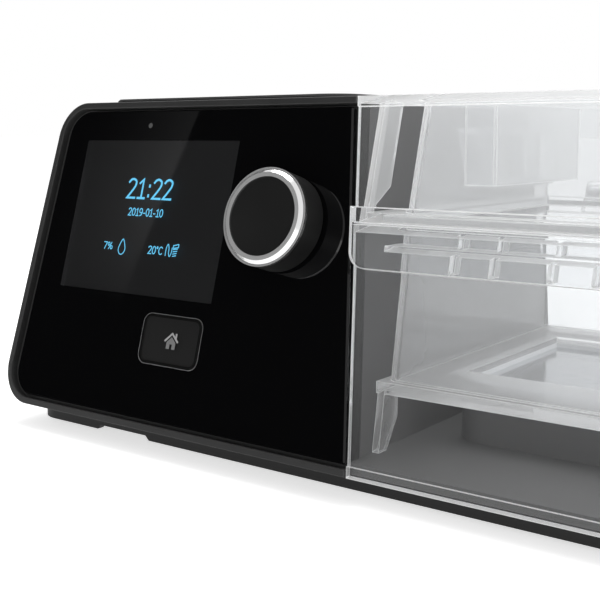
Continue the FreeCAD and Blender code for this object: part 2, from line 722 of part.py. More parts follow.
def encoder_body():
    """The fixed half of the rotary encoder, its bushing reaching through the panel."""
    body = new_body("encoder_body")
    base = sketch_on(body, "XY_Plane", "board_thick - board_back")
    rectangle(base, "0", "0", "encoder_width", "encoder_width")
    pad(body, base, "board_back - board_thick - panel_thick - touch_gap")
    bushing = sketch_on(body, "XY_Plane", "-(panel_thick + touch_gap)")
    circle(bushing, "0", "0", "bushing_radius")
    pad(body, bushing, "panel_thick + touch_gap + bushing_height")
    bore = sketch_on(body, "XY_Plane", "bushing_height")
    circle(bore, "0", "0", "rotor_radius + running_gap")
    pocket(body, bore, "bushing_height + board_back - 2 * board_thick")
    place_on_panel(body, "knob_x", "knob_up")
    return body


def encoder_rotor():
    """The turning sleeve of the encoder, in which the knob's shaft slides."""
    body = new_body("encoder_rotor")
    sketch = sketch_on(body, "XY_Plane", "bushing_height")
    circle(sketch, "0", "0", "rotor_radius")
    circle(sketch, "0", "0", "shaft_radius + running_gap")
    pad(body, sketch, "bushing_height + board_back - 2 * board_thick - touch_gap", backwards=True)
    place_on_panel(body, "knob_x", "knob_up")
    return body


def knob_shaft():
    """The metal shaft that turns and slides with the knob."""
    body = new_body("knob_shaft")
    sketch = sketch_on(body, "XY_Plane", "knob_height - knob_wall")
    circle(sketch, "0", "0", "shaft_radius")
    pad(body, sketch, "knob_height - knob_wall + board_back - 2 * board_thick - knob_travel"
        " - 2 * touch_gap", backwards=True)
    bevel_edges(body, "touch_gap", lambda e: e.CenterOfMass.z < 0 and e.isClosed())
    place_on_panel(body, "knob_x", "knob_up")
    return body


def knob():
    """The round control knob: skirt, face with a seat for the ring, and hub."""
    body = new_body("knob")
    sketch = sketch_on(body, "XZ_Plane")
    foot = "knob_travel + touch_gap"
    seat = "knob_height - knob_ring_height"
    inner = "knob_radius - knob_ring_width"
    outline(sketch, [("shaft_radius", foot + " + knob_hub_setback"),
                     ("knob_hub_radius", foot + " + knob_hub_setback"),
                     ("knob_hub_radius", seat + " - knob_wall"),
                     ("knob_radius - knob_wall", seat + " - knob_wall"),
                     ("knob_radius - knob_wall", foot), ("knob_radius", foot),
                     ("knob_radius", seat), (inner, seat),
                     (inner, "knob_height - touch_gap"), ("0", "knob_height - touch_gap"),
                     ("0", "knob_height - knob_wall"),
                     ("shaft_radius", "knob_height - knob_wall")])
    turn(body, "Revolution", sketch)
    place_on_panel(body, "knob_x", "knob_up")
    return body


def knob_ring():
    """The bright ring round the knob's face: flat, bevel, groove and a thin outer lip."""
    body = new_body("knob_ring")
    sketch = sketch_on(body, "XZ_Plane")
    seat = "knob_height - knob_ring_height"
    lip, groove = "knob_radius - ring_groove", "knob_radius - 2 * ring_groove"
    foot, rise = "knob_height - ring_bevel - ring_groove", "knob_height - ring_bevel"
    outline(sketch, [("knob_radius - knob_ring_width", seat), ("knob_radius", seat),
                     ("knob_radius", rise), (lip, rise), (lip, foot), (groove, foot),
                     (groove, rise), (groove + " - ring_bevel", "knob_height"),
                     ("knob_radius - knob_ring_width", "knob_height")])
    turn(body, "Revolution", sketch)
    place_on_panel(body, "knob_x", "knob_up")
    return body


def home_button():
    """The home button: a hollow cap with a stop flange and a stem to its switch."""
    body = new_body("home_button")
    depth = "(panel_thick + touch_gap + button_flange / 2)"
    face = sketch_on(body, "XY_Plane")
    rectangle(face, "0", "0", "button_width", "button_height")
    pad(body, face, depth, backwards=True)
    round_edges(body, "button_radius", lambda e: along(e, Z_AXIS))
    flange = sketch_on(body, "XY_Plane", "-" + depth)
    rectangle(flange, "0", "0", "button_width + 2 * button_flange",
              "button_height + 2 * button_flange")
    pad(body, flange, "button_flange / 2")
    inside = sketch_on(body, "XY_Plane", "-" + depth)
    rectangle(inside, "0", "0", "button_width - 2 * button_thick",
              "button_height - 2 * button_thick")
    pocket(body, inside, depth + " - button_thick", backwards=True)
    stem = sketch_on(body, "XY_Plane", "-button_thick")
    circle(stem, "0", "0", "button_thick")
    pad(body, stem, "board_back - board_thick - switch_height - button_travel - touch_gap"
        " - button_thick", backwards=True)
    place_on_panel(body, "button_x", "button_up")
    return body


def button_switch():
    """The push switch under the home button."""
    body = new_body("button_switch")
    base = sketch_on(body, "XY_Plane", "board_thick - board_back")
    rectangle(base, "0", "0", "switch_width", "switch_width")
    pad(body, base, "switch_height - switch_dome_height")
    dome = sketch_on(body, "XY_Plane", "board_thick - board_back")
    circle(dome, "0", "0", "switch_dome_radius")
    pad(body, dome, "switch_height")
    place_on_panel(body, "button_x", "button_up")
    return body


# ---- case ----------------------------------------------------------------------------


def at_back(edge):
    """True for an edge in the back face."""
    return edge.CenterOfMass.y > number("case_depth / 2") - 1e-3


def towards_seam(face):
    """True for the open side next to the humidifier bay."""
    return isinstance(face.Surface, Part.Plane) and face.normalAt(0, 0).x > MOSTLY


def towards_front(face):
    """True for the open side behind the bezel."""
    return isinstance(face.Surface, Part.Plane) and face.normalAt(0, 0).y < -MOSTLY


def case_block(body, low, high):
    """The left side of the case as a solid between two heights, trimmed at the front."""
    sketch = sketch_on(body, "XZ_Plane", "-case_depth / 2")
    outline(sketch, [("-" + half_width(low), low), ("-" + half_width(high), high),
                     (seam(high), high), (seam(low), low)])
    pad(body, sketch, "case_depth")


def top_cover():
    """Top, left side and back of the unit in one shell."""
    body = new_body("top_cover")
    case_block(body, "split_height", "case_height")
    top = number("case_height")
    left = number("screen_x")
    round_edges(body, "case_top_radius", lambda e: along(e, Y_AXIS)
                and e.CenterOfMass.z > top - NEAR and e.CenterOfMass.x < left)
    cut_front(body, "rim_depth")
    bottom = number("split_height")
    round_edges(body, "case_back_radius", lambda e: at_back(e) and e.CenterOfMass.z > bottom + NEAR
                and e.CenterOfMass.x < number(seam("case_height")) - NEAR)
    hollow(body, "case_wall", lambda f: towards_seam(f) or towards_front(f)
           or faces_towards(f, -Z_AXIS))
    back = sketch_on(body, "XZ_Plane", "-case_depth / 2")
    rectangle(back, "intake_x", "intake_up", "intake_width", "intake_height")
    circle(back, "outlet_x", "port_up", "outlet_radius + outlet_neck + lens_gap")
    circle(back, "jack_x", "jack_up", "jack_radius + case_wall / 2")
    pocket(body, back, "2 * case_wall", both=True)
    side = sketch_on(body, "YZ_Plane", "-case_width / 2")
    rectangle(side, "card_y", "card_up", "card_width", "card_height")
    pocket(body, side, "4 * case_wall", both=True)
    return body


def top_panel():
    """The raised panel on the top face."""
    body = new_body("top_panel")
    sketch = sketch_on(body, "XY_Plane", "case_height")
    outline(sketch, [("top_panel_left", "top_panel_front"), ("top_panel_right", "top_panel_front"),
                     ("top_panel_right", "top_panel_back"), ("top_panel_left", "top_panel_back")])
    pad(body, sketch, "top_panel_thick")
    round_edges(body, "top_panel_radius", lambda e: along(e, Z_AXIS))
    high = number("case_height + top_panel_thick / 2")
    bevel_edges(body, "top_panel_thick / 2", lambda e: e.CenterOfMass.z > high)
    return body


def foot_places():
    """The feet in the corners of the plinth, and the one below the bay's inner wall."""
    across = "(case_width / 2 - plinth_side_setback - foot_inset)"
    along_y = "(case_depth / 2 - plinth_setback - foot_inset)"
    corners = [(f"{a}{across}", f"{b}{along_y}") for a in ("", "-") for b in ("", "-")]
    return corners + [("0", "0")]


def plinth():
    """The full-width plinth, open below, with its foot sockets and the grip notch."""
    body = new_body("plinth")
    end, rear = "(case_width / 2 - plinth_side_setback)", "(case_depth / 2 - plinth_setback)"
    bend = "-(case_width / 2 - case_bottom_radius)"
    ledge = "case_bottom + case_wall / 2"
    sketch = sketch_on(body, "XZ_Plane", "-" + rear)
    outline(sketch, [("-" + end, "plinth_bottom"), ("-" + end, ledge), (bend, ledge),
                     (bend, "case_bottom"), (end, "case_bottom"), (end, "plinth_bottom")])
    pad(body, sketch, "2 * " + rear)
    inside = sketch_on(body, "XY_Plane", "plinth_bottom")
    rectangle(inside, "0", "0", f"2 * ({end} - case_wall)", f"2 * ({rear} - case_wall)")
    pocket(body, inside, "case_bottom - plinth_bottom - case_wall", backwards=True)
    middle, top = number("case_bottom / 2"), number("case_bottom")
    round_edges(body, "plinth_radius - case_wall",
                lambda e: along(e, Z_AXIS) and e.CenterOfMass.z < middle)
    round_edges(body, "plinth_radius",
                lambda e: along(e, Z_AXIS) and middle < e.CenterOfMass.z < top)
    notch = sketch_on(body, "XZ_Plane", rear)
    outline(notch, [("notch_left_x", "plinth_bottom"),
                    ("notch_left_x + notch_height", "plinth_bottom + notch_height"),
                    ("notch_left_x + notch_width - notch_height", "plinth_bottom + notch_height"),
                    ("notch_left_x + notch_width", "plinth_bottom")])
    pocket(body, notch, "notch_depth")
    sockets = sketch_on(body, "XY_Plane", "plinth_bottom")
    for x, y in foot_places():
        circle(sockets, x, y, "foot_radius + case_wall")
    pad(body, sockets, "case_bottom - plinth_bottom - case_wall")
    seats = sketch_on(body, "XY_Plane", "plinth_bottom")
    for x, y in foot_places():
        circle(seats, x, y, "foot_radius")
    pocket(body, seats, "foot_height - plinth_bottom", backwards=True)
    return body


def lower_case():
    """The pan under the unit, moulded in one with the plinth."""
    body = new_body("case_pan")
    case_block(body, "case_bottom", "split_height")
    low = number("case_bottom")
    left = number("screen_x")
    round_edges(body, "case_bottom_radius", lambda e: along(e, Y_AXIS)
                and e.CenterOfMass.z < low + NEAR and e.CenterOfMass.x < left)
    cut_front(body, "rim_depth")
    high = number("split_height")
    round_edges(body, "case_back_radius", lambda e: at_back(e) and e.CenterOfMass.z < high - NEAR
                and e.CenterOfMass.x < number(seam("split_height")) - NEAR)
    hollow(body, "case_wall", lambda f: towards_seam(f) or towards_front(f)
           or faces_towards(f, Z_AXIS))
    return join("lower_case", "Part::MultiFuse", body, [plinth()])


def rubber_feet():
    """The feet, bevelled where they meet the table."""
    body = new_body("rubber_feet")
    sketch = sketch_on(body, "XY_Plane")
    for x, y in foot_places():
        circle(sketch, x, y, "foot_radius")
    pad(body, sketch, "foot_height")
    bevel_edges(body, "foot_bevel", lambda e: e.CenterOfMass.z < HAIR)
    return body


# ---- humidifier bay ------------------------------------------------------------------


def bay_liner():
    """Side wall, floor, heater pedestal and back sill of the humidifier bay."""
    body = new_body("bay_liner")
    back = "-(case_depth / 2 - case_wall)"
    wall = sketch_on(body, "XZ_Plane", back)
    low, high = "case_bottom + case_wall", "(case_height - case_wall)"
    outline(wall, [(seam(low) + " - liner_wall", low), (seam(high) + " - liner_wall", high),
                   (seam(high), high), (seam(low), low)])
    pad(body, wall, "case_depth")
    cut_front(body, "rim_depth")
    round_edges(body, "case_back_radius - case_wall",
                lambda e: along(e, X_AXIS) and e.CenterOfMass.y > 0)
    low = "case_bottom"
    tray = sketch_on(body, "XZ_Plane", back)
    tall = "(case_bottom + 2 * case_bottom_radius)"
    outline(tray, [(seam(low), low), (seam(tall), tall), (half_width(tall), tall),
                   (half_width(low), low)])
    floor_front = front("bay_floor", "clear_wall + touch_gap")
    pad(body, tray, f"case_depth / 2 - case_wall - {floor_front}")
    right = number("heater_x")
    bottom = number("case_bottom")
    round_edges(body, "case_bottom_radius", lambda e: along(e, Y_AXIS)
                and e.CenterOfMass.z < bottom + NEAR and e.CenterOfMass.x > right)
    room = sketch_on(body, "XZ_Plane", back)
    outline(room, [(seam("bay_floor"), "bay_floor"), (seam("2 * " + tall), "2 * " + tall),
                   ("case_width", "2 * " + tall), ("case_width", "bay_floor")])
    pocket(body, room, "2 * case_depth", both=True)
    under = sketch_on(body, "XY_Plane", "case_bottom")
    outline(under, [(seam(low) + " + liner_wall", floor_front + " + liner_wall"),
                    ("case_width / 2 - case_bottom_radius", floor_front + " + liner_wall"),
                    ("case_width / 2 - case_bottom_radius", f"-({back}) - liner_wall"),
                    (seam(low) + " + liner_wall", f"-({back}) - liner_wall")])
    pocket(body, under, "bay_floor - case_bottom - liner_wall", backwards=True)
    pedestal = sketch_on(body, "XY_Plane", "bay_floor - liner_wall")
    rectangle(pedestal, "heater_x", "heater_y", "heater_width + 2 * pedestal_margin",
              "heater_depth + 2 * pedestal_margin")
    pad(body, pedestal, "heater_top - heater_thick - bay_floor + liner_wall")
    floor = number("bay_floor")
    round_edges(body, "heater_radius", lambda e: along(e, Z_AXIS) and e.CenterOfMass.z > floor)
    core = sketch_on(body, "XY_Plane", "case_bottom")
    rectangle(core, "heater_x", "heater_y", "heater_width", "heater_depth")
    pocket(body, core, "heater_top - heater_thick - case_bottom - liner_wall", backwards=True)
    sill = sketch_on(body, "XY_Plane", "bay_floor")
    edge = "case_depth / 2 - case_wall"
    outline(sill, [(seam("bay_floor"), edge + " - sill_thick"),
                   (f"{half_width('bay_floor')} - case_bottom_radius", edge + " - sill_thick"),
                   (f"{half_width('bay_floor')} - case_bottom_radius", edge),
                   (seam("bay_floor"), edge)])
    pad(body, sill, "sill_height - bay_floor")
    ports = sketch_on(body, "YZ_Plane")
    for place in ("port_y", "port_y + port_pitch"):
        rectangle(ports, place, "port_up", "port_width", "port_height")
    pocket(body, ports, "case_height", both=True)
    return body


def rounded_plate(label, x, y, z, width, depth, thick, radius, hole=None):
    """A flat plate with round corners, or a ring where a hole is given."""
    body = new_body(label)
    sketch = sketch_on(body, "XY_Plane", z)
    rectangle(sketch, x, y, width, depth)
    pad(body, sketch, thick)
    round_edges(body, radius, lambda e: along(e, Z_AXIS))
    if hole:
        inner = sketch_on(body, "XY_Plane", z)
        rectangle(inner, x, y, *hole)
        pocket(body, inner, thick, backwards=True)
    return body


def heater_plate():
    """The aluminium plate that warms the chamber's base."""
    body = rounded_plate("heater_plate", "heater_x", "heater_y", "heater_top - heater_thick",
                         "heater_width", "heater_depth", "heater_thick", "heater_radius")
    top = number("heater_top")
    bevel_edges(body, "heater_bevel", lambda e: e.CenterOfMass.z > top - HAIR)
    return body


def port_seal(label, place):
    """A silicone seal round an air port, from the bay wall almost to the chamber."""
    body = new_body(label)
    sketch = sketch_on(body, "XZ_Plane", f"-({place} + port_width / 2)")
    low, high = "(port_up - port_height / 2)", "(port_up + port_height / 2)"
    lip = " + seam_gap - touch_gap"
    outline(sketch, [(seam(low) + " - liner_wall", low), (seam(high) + " - liner_wall", high),
                     (seam(high) + lip, high), (seam(low) + lip, low)])
    pad(body, sketch, "port_width")
    bore = sketch_on(body, "YZ_Plane")
    rectangle(bore, place, "port_up", "port_width - 2 * seal_wall", "port_height - 2 * seal_wall")
    pocket(body, bore, "case_height", both=True)
    return body


# ---- air path ------------------------------------------------------------------------


def outlet_port():
    """The hose port on the back wall, with its flange inside the case."""
    body = new_body("outlet_port")
    sketch = sketch_on(body, "XY_Plane")
    neck = "outlet_radius + outlet_neck"
    outline(sketch, [("outlet_bore", "-outlet_length"), ("outlet_radius", "-outlet_length"),
                     ("outlet_radius", "touch_gap"), (neck, "touch_gap"), (neck, "case_wall"),
                     (neck + " + outlet_flange", "case_wall"),
                     (neck + " + outlet_flange", "case_wall + outlet_flange"),
                     ("outlet_bore", "case_wall + outlet_flange")])
    turn(body, "Revolution", sketch)
    body.Placement = Placement(Vector(), Rotation(Z_AXIS, 180))
    shift(body, "outlet_x", "case_depth / 2", "port_up")
    return body


def outlet_duct():
    """The box elbow from the chamber's outlet port to the hose port."""
    body = new_body("outlet_duct")
    middle = "(port_y + port_pitch)"
    rear = "(case_depth / 2 - case_wall - outlet_flange)"
    near = f"({middle} - port_width / 2 - duct_wall)"
    low, high = "(port_up - port_height / 2 - duct_wall)", "(port_up + port_height / 2 + duct_wall)"
    left = "(outlet_x - outlet_radius - duct_wall)"
    sketch = sketch_on(body, "XZ_Plane", "-" + rear)
    outline(sketch, [(left, low), (left, high), (seam(high) + " - liner_wall", high),
                     (seam(low) + " - liner_wall", low)])
    pad(body, sketch, f"{rear} - {near}")
    inside = sketch_on(body, "XZ_Plane", f"-({rear} - duct_wall)")
    outline(inside, [(left + " + duct_wall", low + " + duct_wall"),
                     (left + " + duct_wall", high + " - duct_wall"),
                     ("0", high + " - duct_wall"), ("case_height", low + " + duct_wall")])
    pocket(body, inside, f"{rear} - {near} - 2 * duct_wall", backwards=True)
    hole = sketch_on(body, "XZ_Plane", "-" + rear)
    circle(hole, "outlet_x", "port_up", "outlet_bore")
    pocket(body, hole, "4 * duct_wall", both=True)
    return body


def blower_outlet():
    """Middle height and height of the blower's outlet."""
    rise = "(blower_bottom + blower_height - blower_wall - blower_outlet_drop)"
    return rise, "blower_outlet_height"


def blower_duct():
    """The duct that rises from the blower's outlet to the chamber's inlet port."""
    body = new_body("blower_duct")
    rise, tall = blower_outlet()
    start = "(blower_x + blower_radius + duct_wall)"
    low, high = "(port_up - port_height)", "(port_up + port_height)"
    end = seam(low) + " - liner_wall"
    ends = [(start, rise, tall), (end, "port_up", "port_height")]
    for kind, grow in (("AdditiveLoft", "duct_wall"), ("SubtractiveLoft", "0")):
        sections = []
        for x, up, height in ends:
            section = sketch_on(body, "YZ_Plane", x)
            rectangle(section, "port_y", up, f"port_width + 2 * {grow}", f"{height} + 2 * {grow}")
            sections.append(section)
        loft = body.newObject("PartDesign::" + kind, "blower_duct_loft")
        loft.Profile = sections[0]
        loft.Sections = sections[1:]
        document.recompute()
    slant = sketch_on(body, "XZ_Plane")
    outline(slant, [(end, low), (f"{seam(high)} - liner_wall", high), (end, high)])
    pocket(body, slant, "case_depth", both=True)
    return body


def blower_lower():
    """The lower half of the blower housing, which holds the motor."""
    body = new_body("blower_lower")
    sketch = sketch_on(body, "XZ_Plane")
    tall = "(blower_height / 2)"
    outline(sketch, [("motor_radius / 2", "0"), ("blower_radius", "0"), ("blower_radius", tall),
                     ("blower_radius - blower_wall", tall),
                     ("blower_radius - blower_wall", "blower_wall"),
                     ("motor_radius / 2", "blower_wall")])
    turn(body, "Revolution", sketch)
    rim = number("2 * pi * blower_radius")
    bevel_edges(body, "blower_wall", lambda e: e.CenterOfMass.z < HAIR and e.Length > rim - NEAR)
    shift(body, "blower_x", "blower_y", "blower_bottom")
    return body


def blower_upper():
    """The upper half of the blower housing, with its inlet eye and tangential outlet."""
    body = new_body("blower_upper")
    base, tall = "(blower_height / 2)", "blower_height"
    sketch = sketch_on(body, "XZ_Plane")
    outline(sketch, [("blower_eye", tall + " - blower_wall"),
                     ("blower_radius - blower_wall", tall + " - blower_wall"),
                     ("blower_radius - blower_wall", base), ("blower_radius", base),
                     ("blower_radius", tall), ("blower_eye + blower_wall", tall),
                     ("blower_eye + blower_wall", tall + " + blower_wall"),
                     ("blower_eye", tall + " + blower_wall")])
    turn(body, "Revolution", sketch)
    rise, height = blower_outlet()
    up = f"({rise} - blower_bottom)"
    side = "(port_y - blower_y)"
    reach = "(blower_radius + duct_wall)"
    spout = sketch_on(body, "YZ_Plane", reach)
    rectangle(spout, side, up, "port_width + 2 * duct_wall", f"{height} + 2 * duct_wall")
    pad(body, spout, "blower_radius", backwards=True)
    channel = sketch_on(body, "YZ_Plane", reach)
    rectangle(channel, side, up, "port_width", height)
    pocket(body, channel, reach)
    chamber = sketch_on(body, "XY_Plane", base)
    circle(chamber, "0", "0", "blower_radius - blower_wall")
    pocket(body, chamber, f"{tall} - blower_wall - {base}", backwards=True)
    shift(body, "blower_x", "blower_y", "blower_bottom")
    return body


def impeller():
    """The blower wheel: hub, disc and backward-curved blades."""
    body = new_body("impeller")
    sketch = sketch_on(body, "XZ_Plane")
    outline(sketch, [("spindle_radius", "0"), ("impeller_radius", "0"),
                     ("impeller_radius", "blade_thick"), ("hub_radius", "blade_thick"),
                     ("hub_top_radius", "impeller_height"), ("spindle_radius", "impeller_height")])
    turn(body, "Revolution", sketch)
    blade = sketch_on(body, "XY_Plane", "blade_thick / 2")
    inner, outer = number("blade_root"), number("impeller_radius - blade_thick / 2")
    sweep = math.radians(number("blade_sweep"))
    root, tip = Vector(inner, 0, 0), Vector(outer * math.cos(sweep), outer * math.sin(sweep), 0)
    belly = (root + tip) / 2 + (tip - root).cross(Z_AXIS) * number("blade_belly")
    line = Part.Arc(root, belly, tip).toShape()
    sides = []
    for side in (-1, 1):
        curve = line.Curve.copy()
        curve.Radius = curve.Radius + side * number("blade_thick / 2")
        arc = Part.ArcOfCircle(curve, line.FirstParameter, line.LastParameter)
        sides.append(blade.addGeometry(arc, False))
    for end in (1, 2):
        corners = [blade.getPoint(side, end) for side in sides]
        blade.addGeometry(Part.LineSegment(*corners), False)
    pad(body, blade, "impeller_height - blade_thick / 2")
    wheel = body.newObject("PartDesign::PolarPattern", "impeller_blades")
    wheel.Originals = [body.Tip if body.Tip != wheel else wheel.BaseFeature]
    wheel.Axis = (blade, ["N_Axis"])
    wheel.Angle = 360
    bind(wheel, "Occurrences", "blade_count")
    body.Tip = wheel
    document.recompute()
    shift(body, "blower_x", "blower_y", "blower_bottom + blower_wall + motor_height + touch_gap")
    return body


def blower_motor():
    """The motor with its spindle up through the wheel."""
    body = new_body("blower_motor")
    sketch = sketch_on(body, "XZ_Plane")
    tall = "motor_height"
    outline(sketch, [("0", "0"), ("motor_radius", "0"), ("motor_radius", tall + " - motor_shoulder"),
                     ("motor_radius - motor_shoulder", tall), ("spindle_radius - running_gap", tall),
                     ("spindle_radius - running_gap", tall + " + impeller_height"),
                     ("0", tall + " + impeller_height")])
    turn(body, "Revolution", sketch)
    shift(body, "blower_x", "blower_y", "blower_bottom + blower_wall")
    return body


def blower_mounts():
    """The tapered silicone posts under the blower."""
    body = new_body("blower_mounts")
    sketch = sketch_on(body, "XZ_Plane")
    tall = "(blower_bottom - case_bottom - case_wall)"
    outline(sketch, [("0", "0"), ("mount_radius", "0"), ("mount_top_radius", tall), ("0", tall)])
    turn(body, "Revolution", sketch)
    posts = []
    for index in range(int(number("mount_count"))):
        post = document.addObject("Part::Feature", "blower_mount")
        angle = math.radians(90 + index * 360 / number("mount_count"))
        shape = body.Shape.copy()
        shape.translate(Vector(math.cos(angle), math.sin(angle), 0) * number("mount_circle"))
        post.Shape = shape
        posts.append(post)
    result = document.addObject("Part::Compound", "blower_mounts_set")
    result.Links = posts
    body.Label = "blower_mount_pattern"
    result.Label = "blower_mounts"
    shift(result, "blower_x", "blower_y", "case_bottom + case_wall")
    return result


def filter_tray():
    """The frame inside the back wall that holds the intake filter."""
    body = new_body("filter_tray")
    sketch = sketch_on(body, "XZ_Plane", "-(case_depth / 2 - case_wall)")
    rectangle(sketch, "intake_x", "intake_up", "intake_width + 2 * duct_wall",
              "intake_height + 2 * duct_wall")
    pad(body, sketch, "filter_thick + duct_wall")
    bore = sketch_on(body, "XZ_Plane", "-(case_depth / 2 - case_wall)")
    rectangle(bore, "intake_x", "intake_up", "intake_width", "intake_height")
    pocket(body, bore, "2 * filter_thick", both=True)
    return body


def inlet_filter():
    """The felt filter in its tray."""
    return block("inlet_filter", "intake_x - intake_width / 2 + lens_gap",
                 "case_depth / 2 - case_wall - filter_thick",
                 "intake_up - intake_height / 2 + lens_gap", "intake_width - 2 * lens_gap",
                 "filter_thick", "intake_height - 2 * lens_gap")


def filter_cap():
    """The slotted cap over the intake, with a plug that fits the window."""
    body = new_body("filter_cap")
    seat = "(case_depth / 2 + touch_gap)"
    sketch = sketch_on(body, "XZ_Plane", f"-({seat} + cap_thick)")
    rectangle(sketch, "intake_x", "intake_up", "intake_width + 2 * cap_margin",
              "intake_height + 2 * cap_margin")
    pad(body, sketch, "cap_thick")
    round_edges(body, "cap_margin", lambda e: along(e, Y_AXIS))
    plug = sketch_on(body, "XZ_Plane", f"-{seat}")
    rectangle(plug, "intake_x", "intake_up", "intake_width - 2 * touch_gap",
              "intake_height - 2 * touch_gap")
    pad(body, plug, "case_wall")
    slots = sketch_on(body, "XZ_Plane", f"-({seat} + cap_thick)")
    count = int(number("louvre_count"))
    for index in range(count):
        place = f"intake_up + intake_height * ({index} + 0.5) / {count} - intake_height / 2"
        rectangle(slots, "intake_x", place, "intake_width - 4 * cap_thick", "louvre_width")
    pocket(body, slots, "4 * cap_thick", both=True)
    return body


def muffler_foam():
    """Foam in front of the intake, with a hole towards the blower."""
    body = new_body("muffler_foam")
    sketch = sketch_on(body, "XZ_Plane", "-(case_depth / 2 - case_wall - filter_thick - duct_wall)")
    rectangle(sketch, "intake_x", "intake_up", "intake_width + 2 * duct_wall",
              "intake_height + 2 * duct_wall")
    pad(body, sketch, "foam_thick")
    bore = sketch_on(body, "XZ_Plane", "-(case_depth / 2 - case_wall)")
    circle(bore, "intake_x", "intake_up", "foam_bore_radius")
    pocket(body, bore, "4 * foam_thick", both=True)
    return body


# ---- electrics -----------------------------------------------------------------------


def main_board():
    """The power board on the floor of the pan, on four short posts."""
    body = new_body("main_board")
    sketch = sketch_on(body, "XY_Plane", "main_board_up")
    x = "main_board_left + main_board_width / 2"
    y = "main_board_front + main_board_depth / 2"
    rectangle(sketch, x, y, "main_board_width", "main_board_depth")
    pad(body, sketch, "board_thick")
    posts = sketch_on(body, "XY_Plane", "case_bottom + case_wall")
    for a in "+-":
        for b in "+-":
            circle(posts, f"{x} {a} (main_board_width / 2 - screw_inset)",
                   f"{y} {b} (main_board_depth / 2 - screw_inset)", "screw_head_radius")
    pad(body, posts, "main_board_up - case_bottom - case_wall")
    parts = sketch_on(body, "XY_Plane", "main_board_up + board_thick")
    for index in range(int(number("capacitor_count"))):
        place = f"main_board_left + main_board_width * {index + 1} / (capacitor_count + 1)"
        circle(parts, place, y, "capacitor_radius")
    pad(body, parts, "capacitor_height")
    return body


def dc_inlet():
    """The power inlet behind the back wall."""
    body = new_body("dc_inlet")
    sketch = sketch_on(body, "XZ_Plane", "-(case_depth / 2 - case_wall)")
    rectangle(sketch, "jack_x", "jack_up", "jack_width", "jack_width")
    pad(body, sketch, "jack_depth")
    bore = sketch_on(body, "XZ_Plane", "-(case_depth / 2 - case_wall)")
    circle(bore, "jack_x", "jack_up", "jack_radius")
    pocket(body, bore, "jack_bore_depth", backwards=True)
    pin = sketch_on(body, "XZ_Plane", "-(case_depth / 2 - case_wall - jack_bore_depth)")
    circle(pin, "jack_x", "jack_up", "jack_pin_radius")
    pad(body, pin, "jack_pin_length", backwards=True)
    return body


def card_wall():
    """X of the outside of the left wall at the card slot."""
    return "-" + half_width("card_up")


def card_socket():
    """The memory card socket behind the slot, against the drafted wall."""
    body = new_body("card_socket")
    half = "(card_height / 2 + duct_wall)"
    low, high = f"(card_up - {half})", f"(card_up + {half})"
    inner = " + case_wall / cos(side_draft)"
    sketch = sketch_on(body, "XZ_Plane", "-card_y")
    outline(sketch, [(f"-{half_width(low)}{inner}", low), (f"-{half_width(high)}{inner}", high),
                     (f"-{half_width(high)}{inner} + card_width", high),
                     (f"-{half_width(high)}{inner} + card_width", low)])
    pad(body, sketch, "card_width + 2 * duct_wall", both=True)
    bore = sketch_on(body, "YZ_Plane", card_wall())
    rectangle(bore, "card_y", "card_up", "card_width - duct_wall", "card_height - duct_wall")
    pocket(body, bore, "card_pocket_depth", backwards=True)
    return body


def card_cover():
    """The rubber cover that plugs the card slot, with the bead it bends about."""
    body = new_body("card_cover")
    wall = card_wall() + f" - touch_gap - (card_height / 2 + cover_margin) * tan(side_draft)"
    sketch = sketch_on(body, "YZ_Plane", wall)
    rectangle(sketch, "card_y", "card_up", "card_width + 2 * cover_margin",
              "card_height + 2 * cover_margin")
    pad(body, sketch, "cover_thick", backwards=True)
    round_edges(body, "cover_margin", lambda e: along(e, X_AXIS))
    plug = sketch_on(body, "YZ_Plane", wall)
    rectangle(plug, "card_y", "card_up", "card_width - 4 * touch_gap", "card_height - 2 * touch_gap")
    pad(body, plug, "case_wall")
    bead = sketch_on(body, "XY_Plane", "card_up - card_height / 2")
    circle(bead, wall + " - cover_thick / 2", "card_y + card_width / 2 + cover_margin",
           "cover_thick / 2")
    pad(body, bead, "card_height")
    return body


# ---- water chamber -------------------------------------------------------------------


def chamber_block(body, low, high):
    """The clear part of the case as a solid between two heights."""
    sketch = sketch_on(body, "XZ_Plane", "-chamber_back")
    gap = " + seam_gap"
    outline(sketch, [(seam(low) + gap, low), (seam(high) + gap, high),
                     (half_width(high), high), (half_width(low), low)])
    pad(body, sketch, "2 * case_depth")
    cut_front(body)


def recess_front(body, low, high, low_face, high_face):
    """Sets the clear front back behind the rim bands, level with the gloss panel."""
    sketch = sketch_on_panel(body, "rim_proud")
    foot = slope(low, "rim_proud") + f" + {low_face}"
    head = slope(high, "rim_proud") + f" - {high_face}"
    outline(sketch, [(seam(low), foot), ("-case_height", foot), ("-case_height", head),
                     (seam(high), head), (half_width(high) + " - rim_side_face", head),
                     (half_width(low) + " - rim_side_face", foot)])
    pocket(body, sketch, "rim_proud")


def away_from_unit(face):
    """True for the open side of the chamber that slides past the unit."""
    return isinstance(face.Surface, Part.Plane) and face.normalAt(0, 0).x < -MOSTLY


def tub_front(up, inset="0"):
    """Y of the tub's own front wall at a height."""
    lip = front("joint_height", "tub_front_inset")
    return f"({lip} - (joint_height - ({up})) * tan(tub_front_lean) + ({inset}) / cos(tub_front_lean))"


TUB_FLOOR = "(heater_top + touch_gap + plate_thick + plate_seal_height)"
LID_BOTTOM = "(joint_height + touch_gap)"


